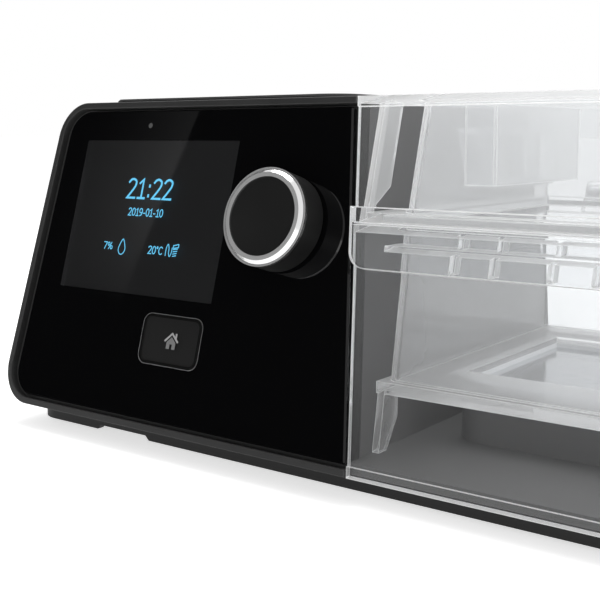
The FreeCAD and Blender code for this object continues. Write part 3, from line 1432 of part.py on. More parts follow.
def tub_shell():
    """Front plate, right wall and flange of the tub."""
    body = new_body("tub_shell")
    chamber_block(body, "case_bottom", "joint_height")
    right, low = number("heater_x"), number("case_bottom")
    round_edges(body, "case_bottom_radius", lambda e: along(e, Y_AXIS)
                and e.CenterOfMass.z < low + NEAR and e.CenterOfMass.x > right)
    hollow(body, "clear_wall", lambda f: faces_towards(f, Y_AXIS) or away_from_unit(f))
    recess_front(body, "case_bottom", "joint_height", "rim_inner_face", "0")
    rail = sketch_on(body, "YZ_Plane")
    over = "(bay_floor + touch_gap)"
    outline(rail, [(front("0", "clear_wall"), "0"), (front(over, "clear_wall"), over),
                   ("case_depth", over), ("case_depth", "0")])
    pocket(body, rail, "2 * case_width", both=True)
    mouth = sketch_on(body, "XY_Plane", "joint_height")
    outline(mouth, tub_mouth())
    pocket(body, mouth, "2 * clear_wall")
    tub_ribs(body)
    return body


def tub_ribs(body):
    """The shelf behind the tub's front plate, with pairs of ribs above and below it."""
    high, low = "(joint_height - clear_wall / 2)", "(joint_height - lip_drop)"
    shelf, over = "(joint_height - shelf_drop)", "(joint_height - shelf_drop + rib_thick)"
    plate, step, tub = "clear_wall / 2", "clear_wall + rib_step", "tub_wall / 2"
    ledge = sketch_on(body, "YZ_Plane", "tub_left")
    outline(ledge, [(front(shelf, plate), shelf), (front(over, plate), over),
                    (tub_front(over, tub), over), (tub_front(shelf, tub), shelf)])
    pad(body, ledge, "tub_right - tub_left")
    lower = [(front(low, plate), low), (front(over, plate), over),
             (front(over, step), over), (front(low, step), low)]
    upper = [(front(shelf, step), shelf), (front(high, step), high),
             (tub_front(high, tub), high), (tub_front(shelf, tub), shelf)]
    for pair in range(int(number("rib_pairs"))):
        for place in ("rib_left", "rib_left + rib_pair"):
            for corners in (lower, upper):
                rib = sketch_on(body, "YZ_Plane", f"{place} + {pair} * rib_pitch")
                outline(rib, corners)
                pad(body, rib, "rib_thick")


def tub_mouth():
    """The tub's opening seen from above."""
    near = tub_front("joint_height", "tub_wall")
    return [("tub_left + tub_wall", near), ("tub_right - tub_wall", near),
            ("tub_right - tub_wall", "tub_back - tub_wall"),
            ("tub_left + tub_wall", "tub_back - tub_wall")]


def tub_box():
    """The water tub itself: leaning front, round corners, open top and floor."""
    body = new_body("tub_box")
    side = sketch_on(body, "YZ_Plane", "tub_left")
    outline(side, [(tub_front(TUB_FLOOR), TUB_FLOOR), (tub_front("joint_height"), "joint_height"),
                   ("tub_back", "joint_height"), ("tub_back", TUB_FLOOR)])
    pad(body, side, "tub_right - tub_left")
    round_edges(body, "tub_corner", upright)
    hollow(body, "tub_wall", lambda f: faces_towards(f, Z_AXIS))
    floor = sketch_on(body, "XY_Plane", TUB_FLOOR)
    rectangle(floor, "heater_x", "heater_y", "plate_width - 2 * plate_lap", "plate_depth - 2 * plate_lap")
    pocket(body, floor, "2 * tub_wall", backwards=True)
    band = sketch_on(body, "XY_Plane", TUB_FLOOR + " + tub_wall")
    near = tub_front(TUB_FLOOR, "-tub_flange_width")
    outline(band, [("tub_left - tub_flange_width", near), ("tub_right + tub_flange_width", near),
                   ("tub_right + tub_flange_width", "tub_back + tub_flange_width"),
                   ("tub_left - tub_flange_width", "tub_back + tub_flange_width")])
    rectangle(band, "heater_x", "heater_y", "plate_width + 2 * touch_gap", "plate_depth + 2 * touch_gap")
    pad(body, band, "tub_flange_height", backwards=True)
    feet = "(bay_floor + touch_gap)"
    for x in ("tub_left - leg_thick / 2", "tub_right - leg_thick / 2"):
        for place in (tub_front(TUB_FLOOR, "-tub_flange_width"),
                      "(tub_back + tub_flange_width - leg_depth)"):
            leg = sketch_on(body, "YZ_Plane", x)
            lean = f"({TUB_FLOOR} - {feet}) * tan(tub_front_lean)" if "lean" in place else "0"
            outline(leg, [(place, TUB_FLOOR), (f"{place} - {lean}", feet),
                          (f"{place} - {lean} + leg_toe", feet),
                          (f"{place} + leg_depth", f"({TUB_FLOOR} + {feet}) / 2"),
                          (f"{place} + leg_depth", TUB_FLOOR)])
            pad(body, leg, "leg_thick")
    return body


def knuckles(label, places, tab_low, tab_high, bore):
    """Hinge knuckles with their tabs, bored for the pin."""
    solids = []
    for x in places:
        solids.append(rod(label + "_knuckle", x, "hinge_back", "hinge_up", "hinge_knuckle",
                          "knuckle_length", X_AXIS))
        solids.append(block(label + "_tab", x, "chamber_back - tub_wall", tab_low,
                            "knuckle_length", "hinge_back - chamber_back + tub_wall",
                            f"{tab_high} - ({tab_low})"))
    joined = join(label, "Part::MultiFuse", solids[0], solids[1:])
    hole = rod(label + "_hole", "0", "hinge_back", "hinge_up", bore, "case_width", X_AXIS)
    return joined, hole


def chamber_tub():
    """The clear tub with its front plate, flange, legs and hinge lugs."""
    places = ("hinge_left", "hinge_right - knuckle_length")
    lugs, hole = knuckles("tub_lugs", places, "joint_height - clear_wall", "joint_height", "hinge_radius")
    whole = join("tub_whole", "Part::MultiFuse", tub_shell(), [tub_box(), lugs])
    return join("chamber_tub", "Part::Cut", whole, [hole])


def chamber_plate():
    """The metal plate that closes the tub's floor."""
    return rounded_plate("chamber_plate", "heater_x", "heater_y", "heater_top + touch_gap",
                         "plate_width", "plate_depth", "plate_thick", "heater_radius / 2")


def plate_seal():
    """The silicone ring between the metal plate and the tub."""
    return rounded_plate("plate_seal", "heater_x", "heater_y",
                         "heater_top + touch_gap + plate_thick", "plate_width", "plate_depth",
                         "plate_seal_height", "heater_radius / 2",
                         ("plate_width - 2 * plate_lap", "plate_depth - 2 * plate_lap"))


def lid_shell():
    """Top, front plate, right wall, flange and finger lip of the lid."""
    body = new_body("lid_shell")
    chamber_block(body, LID_BOTTOM, "case_height")
    right, top = number("heater_x"), number("case_height")
    round_edges(body, "case_top_radius", lambda e: along(e, Y_AXIS)
                and e.CenterOfMass.z > top - NEAR and e.CenterOfMass.x > right)
    hollow(body, "clear_wall", lambda f: faces_towards(f, -Z_AXIS) or faces_towards(f, Y_AXIS)
           or away_from_unit(f))
    recess_front(body, LID_BOTTOM, "case_height", "0", "rim_inner_face")
    flange = sketch_on(body, "XY_Plane", LID_BOTTOM)
    near = front(f"{LID_BOTTOM} + flange_thick", "clear_wall / 2")
    left = "tub_left - 3 * gasket_width"
    outline(flange, [(left, near), (half_width("joint_height") + " - clear_wall", near),
                     (half_width("joint_height") + " - clear_wall", "chamber_back"),
                     (left, "chamber_back")])
    outline(flange, tub_mouth())
    pad(body, flange, "flange_thick")
    post = sketch_on(body, "YZ_Plane", "post_x")
    head = "(case_height - clear_wall / 2)"
    step = f"({LID_BOTTOM} + post_depth)"
    outline(post, [(front(LID_BOTTOM, "clear_wall"), LID_BOTTOM), (front(head, "clear_wall"), head),
                   (front(head, "clear_wall + post_depth"), head),
                   (front(step, "clear_wall + post_depth"), step),
                   (front(LID_BOTTOM, "clear_wall + post_depth / 2"), step + " - post_depth / 2"),
                   (front(LID_BOTTOM, "clear_wall + post_depth / 2"), LID_BOTTOM)])
    pad(body, post, "rib_thick")
    for out, low in (("rim_proud - clear_wall / 2", LID_BOTTOM),
                     ("rim_proud + touch_gap", "(joint_height - lip_drop)")):
        lip = sketch_on_panel(body, out)
        high = "(joint_height + 2 * lip_proud)"
        foot = slope(low, out)
        outline(lip, [(seam(low) + " + seam_gap", foot), (seam(high) + " + seam_gap", slope(high)),
                      (half_width(high), slope(high)), (half_width(low), foot)])
        pad(body, lip, f"rim_proud + lip_proud - ({out})")
    normal = panel_normal()
    foot = number("joint_height - lip_drop")
    round_edges(body, "lip_radius", lambda e: along(e, normal) and e.CenterOfMass.z < foot + NEAR)
    return body


def lid_box():
    """The air box under the lid, open to the tub below, with ports and a baffle behind them."""
    body = new_body("lid_box")
    side = sketch_on(body, "YZ_Plane", "tub_left")
    top = "(case_height - clear_wall)"
    shift_y = f"({tub_front('joint_height')} - {front('joint_height')})"
    outline(side, [(f"{front(LID_BOTTOM)} + {shift_y}", LID_BOTTOM),
                   (f"{front(top)} + {shift_y}", top), ("tub_back", top), ("tub_back", LID_BOTTOM)])
    pad(body, side, "tub_right - tub_left")
    round_edges(body, "tub_corner", upright)
    hollow(body, "tub_wall", lambda f: faces_towards(f, Z_AXIS) or faces_towards(f, -Z_AXIS))
    for place in ("port_y", "port_y + port_pitch"):
        stub = sketch_on(body, "XZ_Plane", f"-({place} + port_width / 2)")
        low, high = "(port_up - port_height / 2)", "(port_up + port_height / 2)"
        outline(stub, [(seam(low) + " + seam_gap", low), (seam(high) + " + seam_gap", high),
                       ("tub_left + tub_wall / 2", high), ("tub_left + tub_wall / 2", low)])
        pad(body, stub, "port_width")
    baffle = sketch_on(body, "XY_Plane", "port_up - port_height / 2 + seal_wall")
    wall, right = "tub_left + tub_wall / 2", "tub_left + baffle_width"
    rear = "tub_back - tub_wall / 2"
    outline(baffle, [(wall, "baffle_front"), (right, "baffle_front"), (right, rear),
                     (right + " - rib_thick", rear),
                     (right + " - rib_thick", "baffle_front + rib_thick"),
                     (wall, "baffle_front + rib_thick")])
    pad(body, baffle, f"{top} - (port_up - port_height / 2 + seal_wall)")
    bores = sketch_on(body, "YZ_Plane", "tub_left + 2 * tub_wall")
    for place in ("port_y", "port_y + port_pitch"):
        rectangle(bores, place, "port_up", "port_width - 2 * seal_wall", "port_height - 2 * seal_wall")
    pocket(body, bores, "2 * tub_left")
    return body


def chamber_lid():
    """The clear lid with its air box, port stubs, finger lip and hinge knuckles."""
    places = ("hinge_left + knuckle_length + touch_gap",
              "hinge_right - 2 * knuckle_length - touch_gap")
    ears, hole = knuckles("lid_ears", places, "hinge_up - clear_wall", "hinge_up + clear_wall",
                          "hinge_radius + running_gap")
    whole = join("lid_whole", "Part::MultiFuse", lid_shell(), [lid_box(), ears])
    drilled = join("lid_drilled", "Part::Cut", whole, [hole])
    groove = gasket_ring("lid_groove")
    return join("chamber_lid", "Part::Cut", drilled, [groove])


def gasket_ring(label):
    """The gasket's track round the tub's mouth."""
    body = new_body(label)
    sketch = sketch_on(body, "XY_Plane", LID_BOTTOM)
    outer, inner = "(tub_wall + gasket_width)", "tub_wall"
    for grow in (outer, inner):
        near = tub_front("joint_height", f"tub_wall - {grow}")
        left, right = f"tub_left + tub_wall - {grow}", f"tub_right - tub_wall + {grow}"
        rear = f"tub_back - tub_wall + {grow}"
        outline(sketch, [(left, near), (right, near), (right, rear), (left, rear)])
    pad(body, sketch, "gasket_height")
    return body


def lid_gasket():
    """The seal that lies in the lid's track."""
    return gasket_ring("lid_gasket")


def hinge_pins():
    """The two pins of the lid's hinge."""
    length = "2 * knuckle_length + touch_gap"
    pins = [rod("hinge_pin", x, "hinge_back", "hinge_up", "hinge_radius", length, X_AXIS)
            for x in ("hinge_left", "hinge_right - " + f"({length})")]
    result = document.addObject("Part::Compound", "hinge_pin_pair")
    result.Links = pins
    result.Label = "hinge_pins"
    return result


# ---- build and export ----------------------------------------------------------------

fill_sheet()

sub_parts = [
    front_bezel(), front_panel(), screen_window(), display_module(), light_sensor(),
    control_board(), board_screws(), encoder_body(), encoder_rotor(), knob_shaft(), knob(),
    knob_ring(), home_button(), button_switch(), top_cover(), top_panel(), lower_case(),
    rubber_feet(), bay_liner(), heater_plate(), port_seal("blower_port_seal", "port_y"),
    port_seal("outlet_port_seal", "(port_y + port_pitch)"), outlet_port(), outlet_duct(),
    blower_duct(), blower_lower(), blower_upper(), impeller(), blower_motor(),
    blower_mounts(), filter_tray(), inlet_filter(), filter_cap(), muffler_foam(),
    main_board(), dc_inlet(), card_socket(), card_cover(), chamber_tub(), chamber_plate(),
    plate_seal(), chamber_lid(), lid_gasket(), hinge_pins(),
]
document.recompute()

for item in document.Objects:
    if "Invalid" in item.State or "Error" in item.State:
        raise RuntimeError(f"{item.Label} failed to build")
for part in sub_parts:
    if part.Shape.isNull() or not part.Shape.isValid():
        raise RuntimeError(f"{part.Label} has no valid shape")

os.makedirs("parts", exist_ok=True)
for part in sub_parts:
    part.Shape.exportStep(f"parts/{part.Label}.step")
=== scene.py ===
import math

import bmesh
import bpy
from mathutils import Matrix, Vector


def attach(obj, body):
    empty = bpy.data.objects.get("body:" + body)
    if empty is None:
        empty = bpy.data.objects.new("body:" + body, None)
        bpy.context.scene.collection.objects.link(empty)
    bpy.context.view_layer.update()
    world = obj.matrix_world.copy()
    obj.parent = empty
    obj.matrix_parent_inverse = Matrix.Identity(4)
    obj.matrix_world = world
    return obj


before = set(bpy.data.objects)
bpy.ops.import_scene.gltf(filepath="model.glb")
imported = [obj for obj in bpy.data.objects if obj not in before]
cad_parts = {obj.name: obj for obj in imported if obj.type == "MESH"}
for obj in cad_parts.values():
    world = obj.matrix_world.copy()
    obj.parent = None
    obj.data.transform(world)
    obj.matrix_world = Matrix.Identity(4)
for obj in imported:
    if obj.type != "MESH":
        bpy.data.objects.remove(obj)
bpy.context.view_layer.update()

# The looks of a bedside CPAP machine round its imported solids. Lengths are in metres, except
# for places and sizes on the screen and on the home key, which are in millimetres. +X is to
# the right, +Y to the back and +Z up, as in the solids.

MM = 0.001

# The leaning front panel: its slope, its three axes, and where its face meets the table.
LEAN = math.radians(16.0)
PANEL_OUT = Vector((0, -math.cos(LEAN), math.sin(LEAN)))
PANEL_UP = Vector((0, math.sin(LEAN), math.cos(LEAN)))
ACROSS = Vector((1, 0, 0))
PANEL_TURN = Matrix((ACROSS, PANEL_UP, PANEL_OUT)).transposed()
CASE_DEPTH = 145.0
CASE_BOTTOM = 7.9
RIM_PROUD = 0.6
PANEL_AT_TABLE = (-CASE_DEPTH / 2 - CASE_BOTTOM * math.tan(LEAN)
                  + RIM_PROUD / math.cos(LEAN)) * MM


# ---- camera --------------------------------------------------------------------------

VIEW_FROM = Vector((171.1, -303.7, 100.8)) * MM
VIEW_ALONG = Vector((-0.5921, 0.8010, -0.0887))
FOCAL_IN_WIDTHS = 1048.5 / 600
SENSOR_WIDTH = 36.0
SHIFT_UP = -0.118
NEAREST = 0.01


def make_camera():
    data = bpy.data.cameras.new("camera")
    data.sensor_width = SENSOR_WIDTH
    data.lens = FOCAL_IN_WIDTHS * SENSOR_WIDTH
    data.shift_y = SHIFT_UP
    data.clip_start = NEAREST
    camera = bpy.data.objects.new("camera", data)
    bpy.context.collection.objects.link(camera)
    camera.location = VIEW_FROM
    camera.rotation_euler = VIEW_ALONG.to_track_quat("-Z", "Y").to_euler()
    bpy.context.scene.camera = camera


# ---- node helpers --------------------------------------------------------------------


class Nodes:
    """A new node material, or the world's tree, with short calls to add and link nodes."""

    def __init__(self, name, world=None):
        owner = world or bpy.data.materials.new(name)
        owner.use_nodes = True
        self.owner = owner
        self.tree = owner.node_tree
        self.tree.nodes.clear()

    def add(self, kind, settings=None, **inputs):
        """A node; each input is a value or another node's output, with _ for a space."""
        node = self.tree.nodes.new(kind)
        for key, value in (settings or {}).items():
            setattr(node, key, value)
        for key, value in inputs.items():
            self.feed(node, key.replace("_", " "), value)
        return node

    def feed(self, node, socket, value):
        target = node.inputs[socket] if isinstance(socket, int) else self.socket(node, socket)
        if isinstance(value, bpy.types.NodeSocket):
            self.tree.links.new(value, target)
        else:
            target.default_value = value

    @staticmethod
    def socket(node, name):
        for item in node.inputs:
            if item.name == name:
                return item
        raise KeyError(f"{node.bl_idname} has no input {name}")

    def feed_in_order(self, node, *values):
        for index, value in enumerate(values):
            self.feed(node, index, value)
        return node

    def math(self, operation, first, second=0.0, clamp=False):
        node = self.add("ShaderNodeMath", {"operation": operation, "use_clamp": clamp})
        return self.feed_in_order(node, first, second).outputs[0]

    def plus(self, first, second, clamp=False):
        return self.math("ADD", first, second, clamp)

    def minus(self, first, second):
        return self.math("SUBTRACT", first, second)

    def times(self, first, second, clamp=False):
        return self.math("MULTIPLY", first, second, clamp)

    def size_of(self, value):
        return self.math("ABSOLUTE", value)

    def along(self, vector, direction):
        """How far a vector reaches along a direction."""
        node = self.add("ShaderNodeVectorMath", {"operation": "DOT_PRODUCT"})
        return self.feed_in_order(node, vector, direction).outputs["Value"]

    def parts(self, vector):
        return self.add("ShaderNodeSeparateXYZ", Vector=vector).outputs

    def place(self):
        return self.add("ShaderNodeTexCoord").outputs["Object"]

    def normal(self):
        return self.add("ShaderNodeTexCoord").outputs["Normal"]

    def noise(self, scale, detail, roughness=0.5):
        return self.add("ShaderNodeTexNoise", Vector=self.place(), Scale=scale, Detail=detail,
                        Roughness=roughness).outputs["Fac"]

    def cells(self, scale, settings=None):
        return self.add("ShaderNodeTexVoronoi", settings, Vector=self.place(),
                        Scale=scale).outputs["Distance"]

    def spread(self, value, low, high):
        return self.add("ShaderNodeMapRange", Value=value, To_Min=low,
                        To_Max=high).outputs["Result"]

    def ramp(self, value, stops):
        node = self.add("ShaderNodeValToRGB", Fac=value)
        elements = node.color_ramp.elements
        while len(elements) < len(stops):
            elements.new(0.5)
        for element, (position, colour) in zip(elements, stops):
            element.position = position
            element.color = (*colour, 1.0)
        return node.outputs["Color"]

    def bump(self, height, strength, distance):
        return self.add("ShaderNodeBump", Strength=strength, Distance=distance,
                        Height=height).outputs["Normal"]

    def plain(self, kind, colour):
        """A diffuse, translucent or transparent shader of one colour."""
        return self.add(f"ShaderNodeBsdf{kind}", Color=(*colour, 1.0)).outputs["BSDF"]

    def principled(self, **inputs):
        return self.add("ShaderNodeBsdfPrincipled", **inputs).outputs["BSDF"]

    def glow(self, strength, colour=(1.0, 1.0, 1.0)):
        return self.add("ShaderNodeEmission", Color=(*colour, 1.0),
                        Strength=strength).outputs["Emission"]

    def mixed(self, share, first, second):
        node = self.add("ShaderNodeMixShader")
        return self.feed_in_order(node, share, first, second).outputs["Shader"]

    def both(self, first, second):
        return self.feed_in_order(self.add("ShaderNodeAddShader"), first,
                                  second).outputs["Shader"]

    def looked_at(self):
        """1 for what is seen directly, through glass or in a gloss, and 0 for light cast."""
        rays = self.add("ShaderNodeLightPath").outputs
        seen = self.plus(rays["Is Camera Ray"], rays["Is Transmission Ray"])
        return self.plus(seen, rays["Is Glossy Ray"], clamp=True)

    def finish(self, shader):
        output = self.add("ShaderNodeOutputMaterial")
        self.tree.links.new(shader, output.inputs["Surface"])
        return self.owner


def grey(level):
    """A linear grey from a screen level of 0 to 255, by the sRGB curve."""
    share = level / 255
    linear = share / 12.92 if share <= 0.04045 else ((share + 0.055) / 1.055) ** 2.4
    return (linear, linear, linear)


# ---- materials -----------------------------------------------------------------------

PATCH_SCALE = 35.0
GLOSS_SPREAD = 0.05
GRAIN_STRENGTH = 0.35
FINE_GRAIN = 0.00001
PANEL_BLACK = (0.003, 0.003, 0.0033)


def moulded(name, colour, roughness, grain=0.00003, grain_scale=2600.0, patches=0.12,
            specular=0.5):
    """Moulded plastic with a fine spark-eroded grain and slightly uneven gloss."""
    nodes = Nodes(name)
    uneven = nodes.noise(PATCH_SCALE, 4.0)
    dark = tuple(c * (1 - patches) for c in colour)
    light = tuple(c * (1 + patches) for c in colour)
    return nodes.finish(nodes.principled(
        Base_Color=nodes.ramp(uneven, [(0.3, dark), (0.7, light)]),
        Specular_IOR_Level=specular,
        Roughness=nodes.spread(uneven, roughness - GLOSS_SPREAD, roughness + GLOSS_SPREAD),
        Normal=nodes.bump(nodes.noise(grain_scale, 2.0), GRAIN_STRENGTH, grain)))


def gloss_black():
    """The polished front panel: nearly black, with a faint haze of wiping marks."""
    nodes = Nodes("gloss_black_panel")
    return nodes.finish(nodes.principled(
        Base_Color=(*PANEL_BLACK, 1.0),
        Specular_IOR_Level=0.3,
        Roughness=nodes.spread(nodes.noise(18.0, 6.0, 0.65), 0.012, 0.03),
        Normal=nodes.bump(nodes.noise(60.0, 2.0), 0.02, 0.00002)))


STREAK_SCALE = 900.0
STREAK_DEPTH = 0.00002
# How many times finer the streaks' noise is along each axis than along the others.
STREAKS_ALONG_Y = (12.0, 1.0, 1.0)
STREAKS_ALONG_X = (1.0, 12.0, 1.0)
NO_STREAKS = (1.0, 1.0, 1.0)


def metal(name, colour, roughness, brush, streak=0.08, grain=0.15):
    """Metal with streaks of brushing along one direction, or an even grain."""
    nodes = Nodes(name)
    stretched = nodes.add("ShaderNodeMapping", Vector=nodes.place(), Scale=brush)
    lines = nodes.add("ShaderNodeTexNoise", Vector=stretched.outputs["Vector"],
                      Scale=STREAK_SCALE, Detail=3.0).outputs["Fac"]
    return nodes.finish(nodes.principled(
        Base_Color=(*colour, 1.0),
        Metallic=1.0,
        Roughness=nodes.spread(lines, roughness - streak, roughness + streak),
        Normal=nodes.bump(lines, grain, STREAK_DEPTH)))


# How far a normal reaches along the panel's where it belongs to the ring's front.
FACES_OUT = 0.96
RING_BRIGHT, RING_BLASTED = grey(225), grey(172)


def chrome_ring():
    """Satin chrome: the face that looks out of the panel is blasted, its bevels are bright."""
    nodes = Nodes("satin_chrome")
    grain = nodes.noise(1800.0, 2.0)
    blasted = nodes.math("GREATER_THAN", nodes.along(nodes.normal(), PANEL_OUT), FACES_OUT)
    return nodes.finish(nodes.principled(
        Base_Color=nodes.ramp(blasted, [(0.4, RING_BRIGHT), (0.6, RING_BLASTED)]),
        Metallic=nodes.spread(blasted, 1.0, 0.35),
        Roughness=nodes.plus(nodes.spread(blasted, 0.12, 0.5),
                             nodes.spread(grain, -0.03, 0.03)),
        Normal=nodes.bump(grain, 0.1, 0.00001)))


# The clear chamber: the depth of its front plate, the width of the painted highlight lines
# on its corners, and from which turn of the surface on a line, a side, a wall or an edge
# begins.
PLATE_DEPTH = 4.2 * MM
EDGE_LINE = 0.45 * MM
EDGE_SAMPLES = 6
CORNER_BEGINS = 0.985
CORNER_GAIN = 12.0
LOOKS_SIDEWAYS = 0.8
STANDS_UPRIGHT = 0.5
PLATE_EDGE_BEGINS = 0.4
# How cloudy each of them is, the corner lines and plate edges as painted highlight and the
# steep walls partly as a painted sheen, how brightly the lines' painted glow shines, and
# after how many walls a ray goes straight through.
CORNER_HIGHLIGHT_CLOUD = 0.75
CORNER_PAINTED_GLOW = 0.14
PLATE_EDGE_HIGHLIGHT = 0.55
STEEP_CLOUD_AND_SHEEN = 0.8
WALLS_SEEN = 9.5
CLEAR_TINT = (0.94, 0.948, 0.955)
CLOUD_WHITE = (0.92, 0.92, 0.92)
# The colour of the painted glow.
PAINTED_GLOW_WHITE = (0.98, 0.99, 1.0)
PASSED_WHITE = (0.95, 0.95, 0.95)
POLYCARBONATE_IOR = 1.46


def clear_plastic(name, veil, side_veil, painted_glow):
    """Clear polycarbonate: its front plate is polished, and the walls behind the plate are a
    little cloudy. Painted light: its corners are painted highlight lines with a painted glow,
    the narrow edges of its front plate are painted white as a highlight, and the walls are
    clouded more where they are seen edge on, partly a painted sheen. side_veil clouds the walls
    that look sideways, and the last argument is a painted glow in the upright ones. Lamps and
    soft light pass through it."""
    nodes = Nodes(name)
    wave = nodes.noise(24.0, 2.0)
    glass = nodes.principled(
        Base_Color=(*CLEAR_TINT, 1.0),
        IOR=POLYCARBONATE_IOR,
        Transmission_Weight=1.0,
        Roughness=nodes.spread(wave, 0.0, 0.008),
        Normal=nodes.bump(wave, 0.06, 0.0002))

    normal = nodes.normal()
    faces = nodes.parts(normal)
    sideways = nodes.math("GREATER_THAN", nodes.size_of(faces["X"]), LOOKS_SIDEWAYS)
    upright = nodes.math("LESS_THAN", nodes.size_of(faces["Z"]), STANDS_UPRIGHT)
    # Painted highlight: the corners become white lines with a painted glow.
    rounded = nodes.add("ShaderNodeBevel", {"samples": EDGE_SAMPLES}, Radius=EDGE_LINE)
    turned = nodes.along(rounded.outputs["Normal"],
                         nodes.add("ShaderNodeNewGeometry").outputs["Normal"])
    corner = nodes.times(nodes.minus(CORNER_BEGINS, turned), CORNER_GAIN, clamp=True)

    where = nodes.parts(nodes.place())
    leaned = nodes.times(where["Z"], math.tan(LEAN))
    behind = nodes.minus(nodes.minus(where["Y"], leaned), PANEL_AT_TABLE)
    inner = nodes.times(nodes.minus(behind, PLATE_DEPTH), 1 / MM, clamp=True)
    facing = nodes.add("ShaderNodeLayerWeight", Blend=0.35).outputs["Facing"]
    # The walls cloud more where seen edge on: partly their frost, partly a painted sheen.
    steep = nodes.times(nodes.math("POWER", facing, 2.0), STEEP_CLOUD_AND_SHEEN)
    mottle = nodes.spread(nodes.noise(40.0, 4.0), 0.85, 1.15)
    clouded = nodes.plus(nodes.plus(steep, veil), nodes.times(sideways, side_veil))
    walls = nodes.times(nodes.times(clouded, mottle), inner)
    flat = nodes.size_of(nodes.along(normal, PANEL_OUT))
    # Painted highlight: the narrow edges of the front plate are clouded white.
    plate_edge_highlight = nodes.times(nodes.math("LESS_THAN", flat, PLATE_EDGE_BEGINS),
                             nodes.minus(1.0, inner))
    share = nodes.plus(nodes.plus(walls, nodes.times(corner, CORNER_HIGHLIGHT_CLOUD)),
                       nodes.times(plate_edge_highlight, PLATE_EDGE_HIGHLIGHT), clamp=True)

    milky = nodes.mixed(0.5, nodes.plain("Diffuse", CLOUD_WHITE),
                        nodes.plain("Translucent", CLOUD_WHITE))
    # Painted light: a glow in the upright walls and along the corner lines.
    light = nodes.plus(nodes.times(upright, painted_glow), nodes.times(corner, CORNER_PAINTED_GLOW))
    cloud = nodes.both(milky, nodes.glow(light, PAINTED_GLOW_WHITE))
    rays = nodes.add("ShaderNodeLightPath").outputs
    soft = nodes.plus(rays["Is Shadow Ray"], rays["Is Diffuse Ray"])
    deep = nodes.math("GREATER_THAN", rays["Transmission Depth"], WALLS_SEEN)
    return nodes.finish(nodes.mixed(nodes.plus(soft, deep, clamp=True),
                                    nodes.mixed(share, glass, cloud),
                                    nodes.plain("Transparent", PASSED_WHITE)))


LENS_TINT = (0.92, 0.93, 0.95)
LENS_GLOW = (0.0118, 0.0118, 0.0121)
LENS_IOR = 1.7


def smoked_window():
    """The dark lens over the display: shows the figures, glows faintly and keeps a gloss."""
    nodes = Nodes("smoked_window")
    haze = nodes.noise(18.0, 6.0)
    glow = nodes.glow(nodes.spread(haze, 0.75, 0.9), LENS_GLOW)
    inside = nodes.both(nodes.plain("Transparent", LENS_TINT), glow)
    gloss = nodes.add("ShaderNodeBsdfGlossy", Roughness=nodes.spread(haze, 0.02, 0.05))
    fresnel = nodes.add("ShaderNodeFresnel", IOR=LENS_IOR).outputs["Fac"]
    return nodes.finish(nodes.mixed(fresnel, inside, gloss.outputs["BSDF"]))


UNLIT_BLACK, POINT_BLACK = (0.0012,) * 3, (0.002,) * 3


def display_face():
    """The display's unlit black, with its fine grain of picture points."""
    nodes = Nodes("display_face")
    points = nodes.noise(4000.0, 0.0)
    return nodes.finish(nodes.principled(
        Base_Color=nodes.ramp(points, [(0.3, UNLIT_BLACK), (0.7, POINT_BLACK)]),
        Roughness=0.5))


def glowing(name, colour, strength):
    """A lit surface whose brightness varies by a few parts in a hundred."""
    nodes = Nodes(name)
    uneven = nodes.spread(nodes.noise(900.0, 1.0), strength * 0.92, strength)
    return nodes.finish(nodes.glow(uneven, colour))


COPPER_GREEN = (0.012, 0.11, 0.035)
MASK_GREEN = (0.006, 0.05, 0.018)


def circuit_board():
    """Green solder mask over copper tracks."""
    nodes = Nodes("circuit_board")
    edges = nodes.cells(220.0, {"feature": "DISTANCE_TO_EDGE"})
    return nodes.finish(nodes.principled(
        Base_Color=nodes.ramp(edges, [(0.02, COPPER_GREEN), (0.06, MASK_GREEN)]),
        Roughness=0.3,
        Normal=nodes.bump(edges, 0.3, 0.00005)))


def soft_fibre(name, colour, scale):
    """Felt or open foam: cells or fibres at the given scale."""
    nodes = Nodes(name)
    depth = nodes.cells(scale)
    shaded = tuple(c * 0.5 for c in colour)
    return nodes.finish(nodes.principled(
        Base_Color=nodes.ramp(depth, [(0.0, shaded), (0.6, colour)]),
        Roughness=0.95,
        Normal=nodes.bump(depth, 0.8, 0.0004)))


SILICONE_WHITE = (0.86, 0.87, 0.88)
SILICONE_DEPTH = (0.002, 0.002, 0.002)


def silicone():
    """Milky silicone rubber."""
    nodes = Nodes("silicone")
    cloud = nodes.noise(60.0, 3.0)
    return nodes.finish(nodes.principled(
        Base_Color=(*SILICONE_WHITE, 1.0),
        Subsurface_Weight=0.3,
        Subsurface_Radius=SILICONE_DEPTH,
        Roughness=nodes.spread(cloud, 0.4, 0.55),
        Normal=nodes.bump(cloud, 0.1, 0.0001)))


# ---- finishes of the CAD nodes -------------------------------------------------------

MATT_BLACK = grey(23)
RIM_BLACK = grey(46)
BASE_BLACK = grey(30)
BAY_GREY = grey(90)
KEY_BLACK = grey(17)
KNOB_BLACK = grey(24)
LENS_GREY = grey(90)
HOUSING_GREY = grey(120)
COMPONENT_BLACK = grey(26)
WHEEL_WHITE = grey(225)
RUBBER_BLACK = grey(28)
STEEL = (0.62, 0.62, 0.63)
POLISHED_STEEL = (0.68, 0.69, 0.71)
ALLOY = (0.66, 0.67, 0.69)
FELT_WHITE = (0.82, 0.83, 0.84)
FOAM_GREY = (0.1, 0.1, 0.11)


